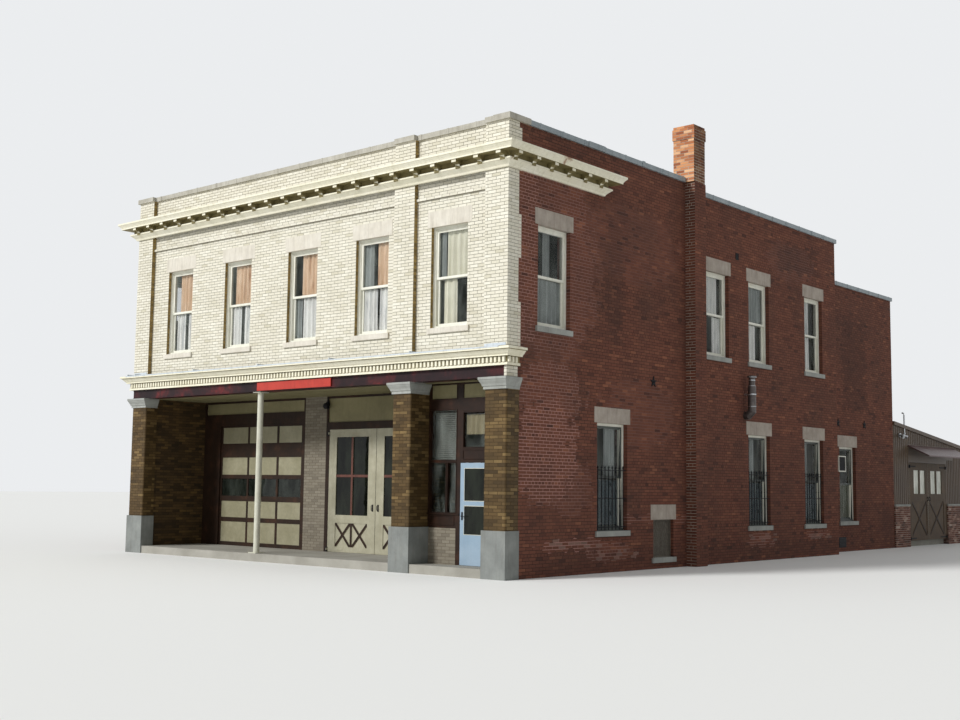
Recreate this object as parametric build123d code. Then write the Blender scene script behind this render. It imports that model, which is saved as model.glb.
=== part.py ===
from build123d import *
from math import atan2, degrees, hypot
import os

# Two-storey brick fire station with a rear annex and a lean-to shed.
# Working frame in millimetres: x = 0 is the right-hand side wall's outer face and the
# building runs towards -x, y = 0 is the street front and the building runs towards +y,
# z = 0 is the porch floor. Every piece is shifted to the row frame when it is saved.

# main block
front_width = 12330.0
side_length = 14610.0
wall_thickness = 330.0
footing_drop = 180.0
beam_top = 3900.0
beam_bottom = 3680.0
floor_thickness = 200.0
roof_top = 8480.0
roof_thickness = 180.0
parapet_front = 8740.0
parapet_rear = 8560.0
parapet_step_y = 7040.0
coping_thickness = 110.0
coping_overhang = 50.0
coping_inner_overhang = 30.0
coping_collars = ((-50.0, 625.0), (2600.0, 3200.0), (4650.0, 4760.0))
coping_collar_proud = 12.0

# street front, upper storey
recess_depth = 100.0
recess_bottom = 4290.0
recess_top = 7860.0
parapet_recess_bottom = 8260.0
string_bottom = 7430.0
string_height = 60.0
string_proud = 40.0
left_panel_inset = 590.0
left_panel_end = -3088.0
right_panel = (-2514.0, -583.0)
first_window_inset = 1120.0
fourth_window_inset = 747.0
front_window_rhythm = (2260.0, 2295.0, 2230.0)
fifth_window_centre = -1610.0
front_window_width = 1000.0
front_sill_top = 4760.0
front_head = 6850.0
front_rail = 5800.0

# side walls
side_window_width = 1080.0
upper_window_centres = (1484.0, 8025.0, 10101.0)
upper_rear_window = 1399.0
upper_sill_top = 4758.0
upper_head = 6803.0
lower_window_centres = (3560.0, 10057.0)
lower_rear_window = 1470.0
lower_window_width = 1130.0
lower_sill_top = 679.0
lower_head = 2939.0
hatch_centre = 5562.0
hatch_width = 840.0
hatch_head = 894.0
hatch_sill_top = 60.0
hatch_cover = 50.0
window_setback = 100.0

# stone trim
lintel_height = 330.0
lintel_bearing = 100.0
sill_height = 110.0
sill_bearing = 60.0
stone_depth = 200.0
lintel_proud = 8.0
sill_proud = 45.0

# window joinery
frame_border = 55.0
frame_depth = 130.0
sash_border = 50.0
sash_depth = 40.0
sash_setback = 20.0
glass_thickness = 8.0

# piers
right_pier_width = 545.0
right_pier_depth = 390.0
mid_pier = (-3030.0, -2520.0)
left_pier_width = 580.0
pier_round = 35.0
base_height = 740.0
base_proud = 30.0
capital_proud_front = 120.0
capital_proud_side = 80.0
capital_height = 230.0
capital_neck = (25.0, 50.0)
capital_cove = ((45.0, 60.0), (60.0, 100.0), (95.0, 150.0), (110.0, 180.0))
capital_lip = 45.0
trim_gap = 20.0

# street front, beam and cornices; a profile's points are (reach, height)
beam_end_inset = 56.0
beam_flange = 22.0
beam_web_setback = 12.0
sign_span = (-7390.0, -4910.0)
sign_bottom = 3695.0
sign_height = 190.0
sign_thickness = 25.0
crown_bottom = 7780.0
crown_reach = 400.0
crown_return = 3150.0
crown_bed = ((0.0, 0.0), (50.0, 0.0), (70.0, 40.0), (150.0, 110.0), (170.0, 120.0), (170.0, 150.0))
crown_soffit = 270.0
crown_drip = 70.0
crown_gutter = ((70.0, 300.0), (50.0, 330.0), (15.0, 370.0), (0.0, 380.0), (0.0, 420.0))
crown_top = 480.0
belt_reach = 250.0
belt_bed = ((0.0, 0.0), (70.0, 0.0), (70.0, 50.0), (50.0, 50.0), (50.0, 170.0))
belt_crown = ((120.0, 170.0), (120.0, 195.0), (85.0, 225.0), (35.0, 285.0), (0.0, 295.0), (0.0, 340.0))
belt_height = 390.0
modillion_pitch = 576.5
modillion_start = 16.0
modillion_width = 115.0
modillion_back = 100.0
modillion_inset = 22.0
modillion_tip = 55.0
modillion_curl = ((34.0, 72.0), (80.0, 62.0), (112.0, 84.0), (126.0, 125.0), (121.0, 150.0), (140.0, 166.0))

# chimney and vent
chimney_y = (6550.0, 7040.0)
chimney_proud = 260.0
stack_x = (-280.0, 270.0)
stack_y = (6500.0, 6990.0)
stack_top = 10100.0
stack_band = (330.0, 65.0)
stack_band_proud = 18.0
flue_size = 220.0
flue_depth = 900.0
vent_y = 9330.0
vent_reach = 200.0
vent_radius = 100.0
vent_sides = 16
vent_bottom = 3400.0
vent_mitre = 105.0
vent_shoulder = 4126.0
vent_neck_radius = 80.0
vent_cap_radius = 115.0
vent_cap_height = 45.0
vent_top = 4380.0
vent_strap = (3905.0, 3935.0)
vent_strap_radius = 106.0
vent_strap_width = 60.0

# porch
porch_depth = 1880.0
porch_wall_thickness = 150.0
porch_lining = 530.0
garage_inset = 1200.0
garage_jamb = 120.0
garage_head = 3050.0
garage_header_top = 3340.0
bay_pier_span = (-7840.0, -7090.0)
bay_opening = (-6970.0, -3790.0)
bay_head = 2880.0
bay_header_top = 3050.0
panel_setback = 30.0
panel_margin = 60.0
entry_wall_thickness = 250.0
post_x = -7450.0
post_y = 150.0
post_radius = 70.0
plate_side = 260.0
plate_thickness = 20.0

# doors
door_gap = 6.0
meeting_gap = 12.0
leaf_thickness = 60.0
pane_depth = 20.0
hinge_reach = 22.0
hinge_barrel = 18.0
hinge_sides = 8
hinge_pin = 10.0
hinge_play = 0.1
hinge_knuckle = 50.0
hinge_ear = 24.0
hinge_step = 1.0
hinge_plate = 8.0
hinge_plate_width = 55.0
strap_length = 520.0
strap_height = 40.0
entry_strap_length = 70.0
bay_hinge_heights = (66.0, 2784.0)
entry_hinge_heights = (260.0, 1860.0)
shed_hinge_heights = (76.0, 2392.0)
leaf_stile = 250.0
leaf_bar = 50.0
leaf_bottom_panel = (130.0, 683.0)
leaf_glass = (869.0, 2693.0)
leaf_recess = 15.0
batten_width = 62.0
batten_thickness = 12.0
garage_rows = ((96.0, 607.0), (714.0, 1129.0), (1258.0, 1695.0), (1795.0, 2236.0), (2590.0, 3000.0))
garage_stile_rhythm = (60.0, 1010.0, 60.0, 1070.0, 70.0, 850.0, 50.0)
garage_door_thickness = 50.0
garage_door_setback = 40.0
garage_panel_recess = 12.0

# entry storefront
entry_setback = 560.0
entry_frame_depth = 100.0
entry_post = (-1750.0, -1636.0)
entry_jamb_width = 155.0
entry_door_head = 2050.0
entry_sill = 730.0
entry_rail_bottom = 3117.0
entry_border = 75.0
entry_transom = 2076.0
entry_transom_bar = 60.0
entry_light_bottom = 1046.0
entry_mullion = (-2025.0, -1975.0)
entry_panel_height = (3357.0, 3638.0)
entry_panel_margin = 60.0
entry_panel_depth = 20.0
entry_door_thickness = 45.0
entry_pane_depth = 15.0
entry_door_border = 110.0
entry_door_lights = ((620.0, 1180.0), (1290.0, 1930.0))
transom_glass = (2363.0, 3060.0)

# annex
annex_setback = 600.0
annex_length = 5390.0
annex_top = 7610.0
annex_roof_top = 7450.0
annex_window_offset = 1995.0
annex_sill_top = 690.0
annex_head = 2860.0

# shed
shed_length = 6100.0
shed_high = 3790.0
shed_low = 3160.0
shed_roof_thickness = 110.0
shed_eave = 60.0
siding_thickness = 100.0
wainscot_top = 1170.0
wainscot_extra = 40.0
wainscot_cap = 60.0
wainscot_cap_proud = 20.0
shed_door_start = 1270.0
shed_door_width = 3160.0
shed_door_head = 2520.0
shed_frame = 90.0
shed_head_board = 250.0
shed_board_proud = 15.0
shed_outer_stile = 360.0
shed_light_width = 430.0
shed_light_gap = 110.0
shed_lights = (1507.0, 2270.0)
shed_panel = (146.0, 1260.0)
awning_start = 1190.0
awning_width = 3960.0
awning_top = 3080.0
awning_front = 2700.0
awning_reach = 700.0
awning_thickness = 40.0

# derived
x_left = -front_width
inner_left = x_left + wall_thickness
inner_right = -wall_thickness
inner_rear = side_length - wall_thickness
annex_left = x_left + annex_setback
annex_right = -annex_setback
annex_rear = side_length + annex_length
shed_rear = annex_rear + shed_length
porch_back = porch_depth + porch_wall_thickness
entry_back = entry_setback + entry_frame_depth
capital_bottom = beam_bottom - capital_height
shed_door_low = annex_rear + shed_door_start
shed_door_high = shed_door_low + shed_door_width
left_pier_face = x_left + left_pier_width
right_pier_face = -right_pier_width
left_panel = (x_left + left_panel_inset, left_panel_end)
porch_left_face = x_left + porch_lining
garage_opening = (x_left + garage_inset, bay_pier_span[0] - garage_jamb)
hinge_side = door_gap / 2
shift = Pos(
    front_width / 2.0,
    -(shed_rear + shed_eave - crown_reach) / 2.0,
    footing_drop,
)


def spread(low, high, rhythm):
    unit = (high - low) / sum(rhythm)
    return [low + unit * sum(rhythm[:i]) for i in range(len(rhythm) + 1)]


left_panel_windows = spread(
    left_panel[0] + first_window_inset,
    left_panel[1] - fourth_window_inset,
    front_window_rhythm,
)
front_window_centres = (*left_panel_windows, fifth_window_centre)
garage_stiles = spread(*garage_opening, garage_stile_rhythm)
garage_columns = list(zip(garage_stiles[1:-1:2], garage_stiles[2:-1:2]))


def block(x0, x1, y0, y1, z0, z1):
    size = (x1 - x0, y1 - y0, z1 - z0)
    corner = (Align.MIN, Align.MIN, Align.MIN)
    return Pos(x0, y0, z0) * Box(*size, align=corner)


def joined(pieces):
    whole = pieces[0]
    for piece in pieces[1:]:
        whole = whole + piece
    return whole


def save(pieces, node):
    if not isinstance(pieces, list):
        pieces = [pieces]
    moved = [shift * piece for piece in pieces]
    shape = moved[0] if len(moved) == 1 else Compound(children=moved)
    export_step(shape, "parts/" + node + ".step")


def on_right(face_x, y):
    return Pos(face_x, y, 0) * Rot(0, 0, 90)


def on_left(face_x, y):
    return Pos(face_x, y, 0) * Rot(0, 0, -90)


def turned(place):
    return place * Rot(0, 180, 0)


def knuckle(z, height):
    ring = extrude(RegularPolygon(hinge_barrel, hinge_sides), height)
    return Pos(0, 0, z - height / 2) * ring


def hinge_leaf(z, length):
    barrel = knuckle(z, hinge_knuckle)
    half = strap_height / 2
    strap = block(0, length, hinge_reach - hinge_plate, hinge_reach, z - half, z + half)
    bore = Pos(0, 0, z) * Cylinder(hinge_pin + hinge_play, hinge_knuckle + 2)
    return barrel + strap - bore


def hinge_pintle(z):
    ear = hinge_knuckle / 2 + hinge_step
    pin = Pos(0, 0, z) * Cylinder(hinge_pin, 2 * (ear + hinge_ear))
    inner = -hinge_barrel - hinge_step
    outer = inner - hinge_plate_width
    y0 = hinge_reach - hinge_plate
    plate = block(outer, inner, y0, hinge_reach, z - ear - hinge_ear, z + ear + hinge_ear)
    whole = pin + plate
    for side in (-1, 1):
        middle = z + side * (ear + hinge_ear / 2)
        arm = block(inner, 0, y0, hinge_reach, middle - hinge_ear / 2, middle + hinge_ear / 2)
        whole = whole + knuckle(middle, hinge_ear) + arm
    return whole


def on_front(x, face_y):
    return Pos(x, face_y, 0)


def opening(width, sill, head):
    return block(-width / 2, width / 2, -10, wall_thickness + 10, sill, head)


def lintel(width, head):
    half = width / 2 + lintel_bearing
    return block(-half, half, -lintel_proud, stone_depth, head, head + lintel_height)


def sill(width, top):
    half = width / 2 + sill_bearing
    return block(-half, half, -sill_proud, stone_depth, top - sill_height, top)


def sash(x0, x1, y0, z0, z1):
    solid = block(x0, x1, y0, y0 + sash_depth, z0, z1)
    hole = block(
        x0 + sash_border, x1 - sash_border,
        y0 - 1, y0 + sash_depth + 1,
        z0 + sash_border, z1 - sash_border,
    )
    return solid - hole


def pane(x0, x1, y0, z0, z1):
    middle = y0 + sash_depth / 2
    return block(
        x0 + sash_border, x1 - sash_border,
        middle - glass_thickness / 2, middle + glass_thickness / 2,
        z0 + sash_border, z1 - sash_border,
    )


def window(width, bottom, head, rail):
    half = width / 2
    back = window_setback + frame_depth
    outer = block(-half, half, window_setback, back, bottom, head)
    x0 = -half + frame_border
    x1 = half - frame_border
    low = bottom + frame_border
    high = head - frame_border
    frame = outer - block(x0, x1, window_setback - 1, back + 1, low, high)
    upper_y = window_setback + sash_setback
    lower_y = upper_y + sash_depth
    lap = sash_border / 2
    frame = frame + sash(x0, x1, upper_y, rail - lap, high)
    frame = frame + sash(x0, x1, lower_y, low, rail + lap)
    panes = [
        pane(x0, x1, upper_y, rail - lap, high),
        pane(x0, x1, lower_y, low, rail + lap),
    ]
    return frame, panes


def middle_of(bottom, head):
    return (bottom + head) / 2


frames = []
glass = []
lintels = []
sills = []


def fit_window(place, width, bottom, head, rail):
    frame, panes = window(width, bottom, head, rail)
    frames.append(place * frame)
    glass.extend([place * one for one in panes])
    lintels.append(place * lintel(width, head))
    sills.append(place * sill(width, bottom))
    cut = opening(width, bottom, head)
    return [place * cut, lintels[-1], sills[-1]]


def build_front_wall():
    wall = block(x_left, 0, 0, wall_thickness, beam_top, parapet_front)
    nib = block(-beam_end_inset, 0, 0, wall_thickness, beam_bottom, beam_top)
    wall = wall + nib
    string_top = string_bottom + string_height
    for x0, x1 in (left_panel, right_panel):
        wall = wall - block(x0, x1, -1, recess_depth, recess_bottom, string_bottom)
        wall = wall - block(x0, x1, -1, recess_depth - string_proud, string_bottom, string_top)
        wall = wall - block(x0, x1, -1, recess_depth, string_top, recess_top)
        wall = wall - block(x0, x1, -1, recess_depth, parapet_recess_bottom, parapet_front + 1)
    for centre in front_window_centres:
        place = on_front(centre, recess_depth)
        for cut in fit_window(place, front_window_width, front_sill_top, front_head, front_rail):
            wall = wall - cut
    save(wall, "front_wall")


def side_openings(place, face):
    cuts = []
    for centre in (*upper_window_centres, side_length - upper_rear_window):
        rail = middle_of(upper_sill_top, upper_head)
        spot = place(face, centre)
        cuts += fit_window(spot, side_window_width, upper_sill_top, upper_head, rail)
    for centre in (*lower_window_centres, side_length - lower_rear_window):
        rail = middle_of(lower_sill_top, lower_head)
        spot = place(face, centre)
        cuts += fit_window(spot, lower_window_width, lower_sill_top, lower_head, rail)
    return cuts


def side_profile(x0, x1, front_low):
    low = block(x0, x1, front_low, side_length, -footing_drop, beam_bottom)
    high = block(x0, x1, wall_thickness, side_length, beam_bottom, parapet_rear)
    step = block(x0, x1, wall_thickness, parapet_step_y, parapet_rear, parapet_front)
    return low + high + step


def build_side_walls():
    wall = side_profile(inner_right, 0, right_pier_depth)
    for cut in side_openings(on_right, 0):
        wall = wall - cut
    spot = on_right(0, hatch_centre)
    hatch_lintel = spot * lintel(hatch_width, hatch_head)
    hatch_sill = spot * sill(hatch_width, hatch_sill_top)
    lintels.append(hatch_lintel)
    sills.append(hatch_sill)
    wall = wall - hatch_lintel
    wall = wall - hatch_sill
    wall = wall - spot * opening(hatch_width, hatch_sill_top, hatch_head)
    save(wall, "right_wall")
    half = hatch_width / 2
    back = window_setback + hatch_cover
    cover = block(-half, half, window_setback, back, hatch_sill_top, hatch_head)
    frames.append(spot * cover)
    wall = side_profile(x_left, inner_left, wall_thickness)
    for cut in side_openings(on_left, x_left):
        wall = wall - cut
    save(wall, "left_wall")
    save(block(inner_left, inner_right, inner_rear, side_length, -footing_drop, parapet_rear), "rear_wall")


def build_floors():
    main = [
        block(inner_left, inner_right, entry_back, inner_rear, -footing_drop, 0),
        block(left_pier_face + base_proud, mid_pier[0] - base_proud, 0, entry_back, -footing_drop, 0),
        block(mid_pier[1] + base_proud, right_pier_face - base_proud, 0, entry_back, -footing_drop, 0),
    ]
    annex = block(
        annex_left + wall_thickness, annex_right - wall_thickness,
        side_length, annex_rear - wall_thickness, -footing_drop, 0,
    )
    shed = block(
        annex_left + siding_thickness + wainscot_extra,
        annex_right - siding_thickness - wainscot_extra,
        annex_rear, shed_rear - siding_thickness - wainscot_extra, -footing_drop, 0,
    )
    save([joined(main), annex, shed], "ground_floor")
    save(
        block(inner_left, inner_right, wall_thickness, inner_rear, beam_top, beam_top + floor_thickness),
        "upper_floor",
    )
    deck = block(
        inner_left, inner_right, wall_thickness, inner_rear, roof_top - roof_thickness, roof_top,
    )
    annex_deck = block(
        annex_left + wall_thickness, annex_right - wall_thickness,
        side_length, annex_rear - wall_thickness,
        annex_roof_top - roof_thickness, annex_roof_top,
    )
    save([deck, annex_deck], "roof_decks")


def rounded(solid):
    edges = solid.edges().filter_by(Axis.Z).group_by(Axis.Y)[0]
    return fillet(edges, pier_round)


def capital(x0, x1, back):
    lip = capital_height - capital_lip
    steps = [(capital_neck[0], 0), capital_neck, *capital_cove]
    steps += [(capital_proud_front, lip), (capital_proud_front, capital_height)]
    share = capital_proud_side / capital_proud_front
    across = [(x0 - d * share, h) for d, h in steps] + [(x1 + d * share, h) for d, h in reversed(steps)]
    along = [(back, 0)] + [(-d, h) for d, h in steps] + [(back, capital_height)]
    front = Plane.XZ * make_face(Polyline(across, close=True))
    side = Plane.YZ * make_face(Polyline(along, close=True))
    tall = extrude(front, back + capital_proud_front, dir=(0, 1, 0))
    wide = extrude(side, x1 - x0 + 2 * capital_proud_side, dir=(1, 0, 0))
    shape = (Pos(0, -capital_proud_front, 0) * tall) & (Pos(x0 - capital_proud_side, 0, 0) * wide)
    return Pos(0, 0, capital_bottom) * shape


def build_piers():
    right = rounded(block(right_pier_face, 0, 0, right_pier_depth, base_height, capital_bottom))
    right = right + block(
        right_pier_face, inner_right, right_pier_depth, entry_back, base_height, beam_bottom,
    )
    right = right + block(
        right_pier_face, inner_right, entry_setback, entry_back, -footing_drop, base_height,
    )
    mid = rounded(block(mid_pier[0], mid_pier[1], 0, entry_setback, base_height, capital_bottom))
    mid = mid + block(mid_pier[0], mid_pier[1], entry_setback, entry_back, -footing_drop, beam_bottom)
    left = rounded(block(x_left, left_pier_face, 0, wall_thickness, base_height, capital_bottom))
    save([right, mid, left], "piers")
    p = base_proud
    base_back = entry_setback
    right_base = block(right_pier_face - p, p, -p, right_pier_depth, -footing_drop, base_height)
    right_base = right_base + block(
        right_pier_face - p, inner_right, right_pier_depth, base_back, -footing_drop, base_height,
    )
    mid_base = block(mid_pier[0] - p, mid_pier[1] + p, -p, base_back, -footing_drop, base_height)
    left_base = block(x_left - p, left_pier_face + p, -p, wall_thickness, -footing_drop, base_height)
    save([right_base, mid_base, left_base], "pier_bases")
    right_cap = capital(right_pier_face, 0, right_pier_depth)
    mid_cap = capital(mid_pier[0], mid_pier[1], entry_setback - trim_gap)
    mid_cap = mid_cap + block(
        mid_pier[0], mid_pier[1], entry_setback - trim_gap, entry_setback, capital_bottom, beam_bottom,
    )
    left_cap = capital(x_left, left_pier_face, wall_thickness)
    save([right_cap, mid_cap, left_cap], "pier_capitals")


def build_beam():
    beam = block(x_left, -beam_end_inset, 0, wall_thickness, beam_bottom, beam_top)
    web = block(
        x_left - 1, -beam_end_inset + 1, -1, beam_web_setback,
        beam_bottom + beam_flange, beam_top - beam_flange,
    )
    save(beam - web, "front_beam")
    sign = block(
        sign_span[0], sign_span[1], -sign_thickness, 0, sign_bottom, sign_bottom + sign_height,
    )
    save(sign, "sign_panel")
    ceiling = block(inner_left, inner_right, wall_thickness, porch_back, beam_bottom, beam_top)
    save(ceiling, "porch_ceiling")


def run_front(profile, x0, x1):
    face = Plane.YZ * make_face(Polyline([(-d, z) for d, z in profile], close=True))
    return Pos(x0, 0, 0) * extrude(face, x1 - x0, dir=(1, 0, 0))


def run_side(profile, x, sign, y0, y1):
    face = Plane.XZ * make_face(Polyline([(sign * d, z) for d, z in profile], close=True))
    return Pos(x, y0, 0) * extrude(face, y1 - y0, dir=(0, 1, 0))


def cornice(profile, reach, right_end, left_end, capped):
    tall = (min(z for d, z in profile) - 1, max(z for d, z in profile) + 1)
    front = run_front(profile, x_left - reach, reach)
    right = run_side(profile, 0, 1, -reach, right_end + reach)
    left = run_side(profile, x_left, -1, -reach, left_end)
    body = front & block(x_left, 0, -reach, 0, *tall)
    body = body + (right & block(0, reach, 0, right_end, *tall))
    body = body + (left & block(x_left - reach, x_left, 0, left_end, *tall))
    body = body + (front & right)
    body = body + (front & left)
    if capped:
        turned = [(-d, z) for d, z in profile]
        face = Plane.YZ * make_face(Polyline([(-d, z) for d, z in turned], close=True))
        end = Pos(0, right_end, 0) * extrude(face, reach, dir=(1, 0, 0))
        body = body + (right & end)
    return body


def modillion(width):
    front = crown_reach - crown_drip - modillion_inset
    outline = [(modillion_back - 1, crown_soffit + 1), (front, crown_soffit + 1)]
    outline.append((front, crown_soffit - modillion_tip))
    outline += [(front - d, crown_soffit - h) for d, h in modillion_curl]
    outline.append((modillion_back - 1, crown_soffit - modillion_curl[-1][1]))
    face = Plane.YZ * make_face(Polyline([(-d, crown_bottom + z) for d, z in outline], close=True))
    return Pos(-width / 2, 0, 0) * extrude(face, width, dir=(1, 0, 0))


def build_cornices():
    profile = [*crown_bed, (modillion_back, crown_bed[-1][1]), (modillion_back, crown_soffit)]
    profile.append((crown_reach - crown_drip, crown_soffit))
    profile += [(crown_reach - d, h) for d, h in crown_gutter]
    profile.append((0, crown_top))
    crown = [(d, crown_bottom + h) for d, h in profile]
    body = cornice(crown, crown_reach, crown_return, wall_thickness, True)
    bracket = modillion(modillion_width)
    for i in range(1 + int(front_width / modillion_pitch)):
        body = body + Pos(-modillion_start - modillion_pitch * i, 0, 0) * bracket
    for i in range(1 + int(crown_return / modillion_pitch)):
        body = body + on_right(0, modillion_pitch * i) * bracket
    save(body, "roof_cornice")
    profile = [*belt_bed] + [(belt_reach - d, h) for d, h in belt_crown] + [(0, belt_height)]
    belt = [(d, beam_top + h) for d, h in profile]
    save(cornice(belt, belt_reach, wall_thickness, wall_thickness, False), "belt_cornice")


def build_coping():
    out = coping_overhang
    inn = coping_inner_overhang
    front_top = parapet_front + coping_thickness
    rear_top = parapet_rear + coping_thickness
    high = block(x_left - out, out, -out, wall_thickness + inn, parapet_front, front_top)
    for x0, x1 in (left_panel, right_panel):
        high = high - block(x0, x1, -out - 1, recess_depth - out, parapet_front - 1, front_top + 1)
    high = high + block(inner_right - inn, out, wall_thickness, stack_y[0], parapet_front, front_top)
    high = high + block(
        x_left - out, inner_left + inn, wall_thickness, parapet_step_y, parapet_front, front_top,
    )
    proud = coping_collar_proud
    for y0, y1 in coping_collars:
        high = high + block(
            inner_right - inn - proud, out + proud, y0, y1, parapet_front, front_top + proud,
        )
    low = block(inner_right - inn, out, parapet_step_y, side_length + out, parapet_rear, rear_top)
    low = low + block(
        x_left - out, inner_left + inn, parapet_step_y, side_length + out, parapet_rear, rear_top,
    )
    low = low + block(x_left - out, out, inner_rear - inn, side_length + out, parapet_rear, rear_top)
    top = annex_top + coping_thickness
    end = annex_rear + out
    rim = block(annex_left - out, annex_right + out, side_length, end, annex_top, top)
    rim = rim - block(
        annex_left + wall_thickness + inn, annex_right - wall_thickness - inn,
        side_length - 1, annex_rear - wall_thickness - inn, annex_top - 1, top + 1,
    )
    save([high, low, rim], "coping")


def vent_drum(radius, z0, z1):
    drum = extrude(RegularPolygon(radius, vent_sides), z1 - z0)
    return Pos(vent_reach, vent_y, z0) * drum


def build_chimney():
    shaft = block(0, chimney_proud, chimney_y[0], chimney_y[1], -footing_drop, parapet_front)
    stack = block(stack_x[0], stack_x[1], stack_y[0], stack_y[1], parapet_front, stack_top)
    p = stack_band_proud
    band = block(
        stack_x[0] - p, stack_x[1] + p, stack_y[0] - p, stack_y[1] + p,
        stack_top - stack_band[0], stack_top - stack_band[1],
    )
    whole = shaft + stack + band
    x = (stack_x[0] + stack_x[1]) / 2
    y = (stack_y[0] + stack_y[1]) / 2
    half = flue_size / 2
    flue = block(x - half, x + half, y - half, y + half, stack_top - flue_depth, stack_top + 1)
    save(whole - flue, "chimney")
    m = vent_mitre
    path = Polyline(
        (0, vent_y, vent_bottom), (vent_reach - m, vent_y, vent_bottom),
        (vent_reach, vent_y, vent_bottom + m), (vent_reach, vent_y, vent_shoulder),
    )
    start = Plane(origin=(0, vent_y, vent_bottom), x_dir=(0, 1, 0), z_dir=(1, 0, 0))
    section = start * RegularPolygon(vent_radius, vent_sides)
    pipe = sweep(section, path=path, transition=Transition.RIGHT)
    pipe = pipe + vent_drum(vent_neck_radius, vent_shoulder, vent_top - vent_cap_height)
    pipe = pipe + vent_drum(vent_cap_radius, vent_top - vent_cap_height, vent_top)
    pipe = pipe + vent_drum(vent_strap_radius, *vent_strap)
    half = vent_strap_width / 2
    bracket = block(0, vent_reach, vent_y - half, vent_y + half, *vent_strap)
    save(pipe + bracket, "vent_pipe")


def bay_left_hinge():
    return Pos(bay_opening[0] + hinge_side, porch_depth - hinge_reach, 0)


def bay_right_hinge():
    return turned(Pos(bay_opening[1] - hinge_side, porch_depth - hinge_reach, 0))


def entry_hinge():
    x = right_pier_face - entry_jamb_width - hinge_side
    return turned(Pos(x, entry_setback - hinge_reach, 0))


def shed_near_hinge():
    return on_right(annex_right + hinge_reach, shed_door_low + hinge_side)


def shed_far_hinge():
    return turned(on_right(annex_right + hinge_reach, shed_door_high - hinge_side))


def build_porch():
    lining = block(
        inner_left, porch_left_face, wall_thickness, porch_back, 0, beam_bottom,
    )
    side = block(
        mid_pier[0], mid_pier[0] + entry_wall_thickness, entry_back, porch_back, 0, beam_bottom,
    )
    save([lining, side], "porch_side_walls")
    frame = block(
        porch_left_face, bay_pier_span[0], porch_depth, porch_back, 0, beam_bottom,
    )
    frame = frame - block(
        garage_opening[0], garage_opening[1], porch_depth - 1, porch_back + 1, -1, garage_head,
    )
    frame = frame - block(
        porch_left_face + panel_margin, bay_pier_span[0] - panel_margin,
        porch_depth - 1, porch_depth + panel_setback, garage_header_top, beam_bottom - panel_margin,
    )
    save(frame, "garage_frame")
    pier = block(
        bay_pier_span[0], bay_pier_span[1], porch_depth, porch_depth + wall_thickness, 0, beam_bottom,
    )
    save(pier, "bay_pier")
    left = block(bay_pier_span[1], bay_opening[0], porch_depth, porch_back, 0, bay_head)
    right = block(bay_opening[1], mid_pier[0], porch_depth, porch_back, 0, bay_head)
    for z in bay_hinge_heights:
        left = left + bay_left_hinge() * hinge_pintle(z)
        right = right + bay_right_hinge() * hinge_pintle(-z)
    save([left, right], "bay_jambs")
    header = block(bay_pier_span[1], mid_pier[0], porch_depth, porch_back, bay_head, beam_bottom)
    header = header - block(
        bay_pier_span[1] + panel_margin, mid_pier[0] - panel_margin,
        porch_depth - 1, porch_depth + panel_setback, bay_header_top, beam_bottom - panel_margin,
    )
    save(header, "bay_header")
    column = Pos(post_x, post_y, plate_thickness) * Cylinder(
        post_radius, beam_bottom - 2 * plate_thickness, align=(Align.CENTER, Align.CENTER, Align.MIN),
    )
    half = plate_side / 2
    x0 = post_x - half
    y0 = post_y - half
    foot = block(x0, x0 + plate_side, y0, y0 + plate_side, 0, plate_thickness)
    head = block(
        x0, x0 + plate_side, y0, y0 + plate_side, beam_bottom - plate_thickness, beam_bottom,
    )
    save(column + foot + head, "steel_post")


def build_garage_door():
    y0 = porch_depth + garage_door_setback
    y1 = y0 + garage_door_thickness
    door = block(garage_opening[0], garage_opening[1], y0, y1, 0, garage_head)
    for z0, z1 in garage_rows:
        for x0, x1 in garage_columns:
            if z0 == garage_rows[2][0]:
                door = door - block(x0, x1, y0 - 1, y1 + 1, z0, z1)
            else:
                door = door - block(x0, x1, y0 - 1, y0 + garage_panel_recess, z0, z1)
    save(door, "garage_door")
    middle = (y0 + y1) / 2
    half = glass_thickness / 2
    z0, z1 = garage_rows[2]
    for x0, x1 in garage_columns:
        glass.append(block(x0, x1, middle - half, middle + half, z0, z1))


def glazed(leaf, x0, x1, z0, z1, depth, thickness):
    leaf = leaf - block(x0, x1, -1, depth, z0, z1)
    return leaf - block(x0, x1, depth + glass_thickness, thickness + 1, z0, z1)


def batten(x0, z0, x1, z1):
    bar = Box(hypot(x1 - x0, z1 - z0), batten_thickness, batten_width)
    place = Pos((x0 + x1) / 2, leaf_recess - batten_thickness / 2, (z0 + z1) / 2)
    return place * Rot(0, -degrees(atan2(z1 - z0, x1 - x0)), 0) * bar


def crossed(leaf, x0, x1, z0, z1):
    panel = block(x0, x1, 0, leaf_recess, z0, z1)
    for a, b in ((z0, z1), (z1, z0)):
        leaf = leaf + (batten(x0, a, x1, b) & panel)
    return leaf


def bay_leaf(width):
    leaf = block(0, width, 0, leaf_thickness, door_gap, bay_head - door_gap)
    right = width - leaf_stile
    half = leaf_bar / 2
    middle = middle_of(*leaf_glass)
    centre = width / 2
    for a, b in ((leaf_stile, centre - half), (centre + half, right)):
        for z0, z1 in ((leaf_glass[0], middle - half), (middle + half, leaf_glass[1])):
            leaf = glazed(leaf, a, b, z0, z1, pane_depth, leaf_thickness)
    z0, z1 = leaf_bottom_panel
    leaf = leaf - block(leaf_stile, right, -1, leaf_recess, z0, z1)
    half = batten_width / 2
    leaf = crossed(leaf, leaf_stile, centre - half, z0, z1)
    leaf = crossed(leaf, centre + half, right, z0, z1)
    return leaf + batten(centre, z0, centre, z1)


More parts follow.
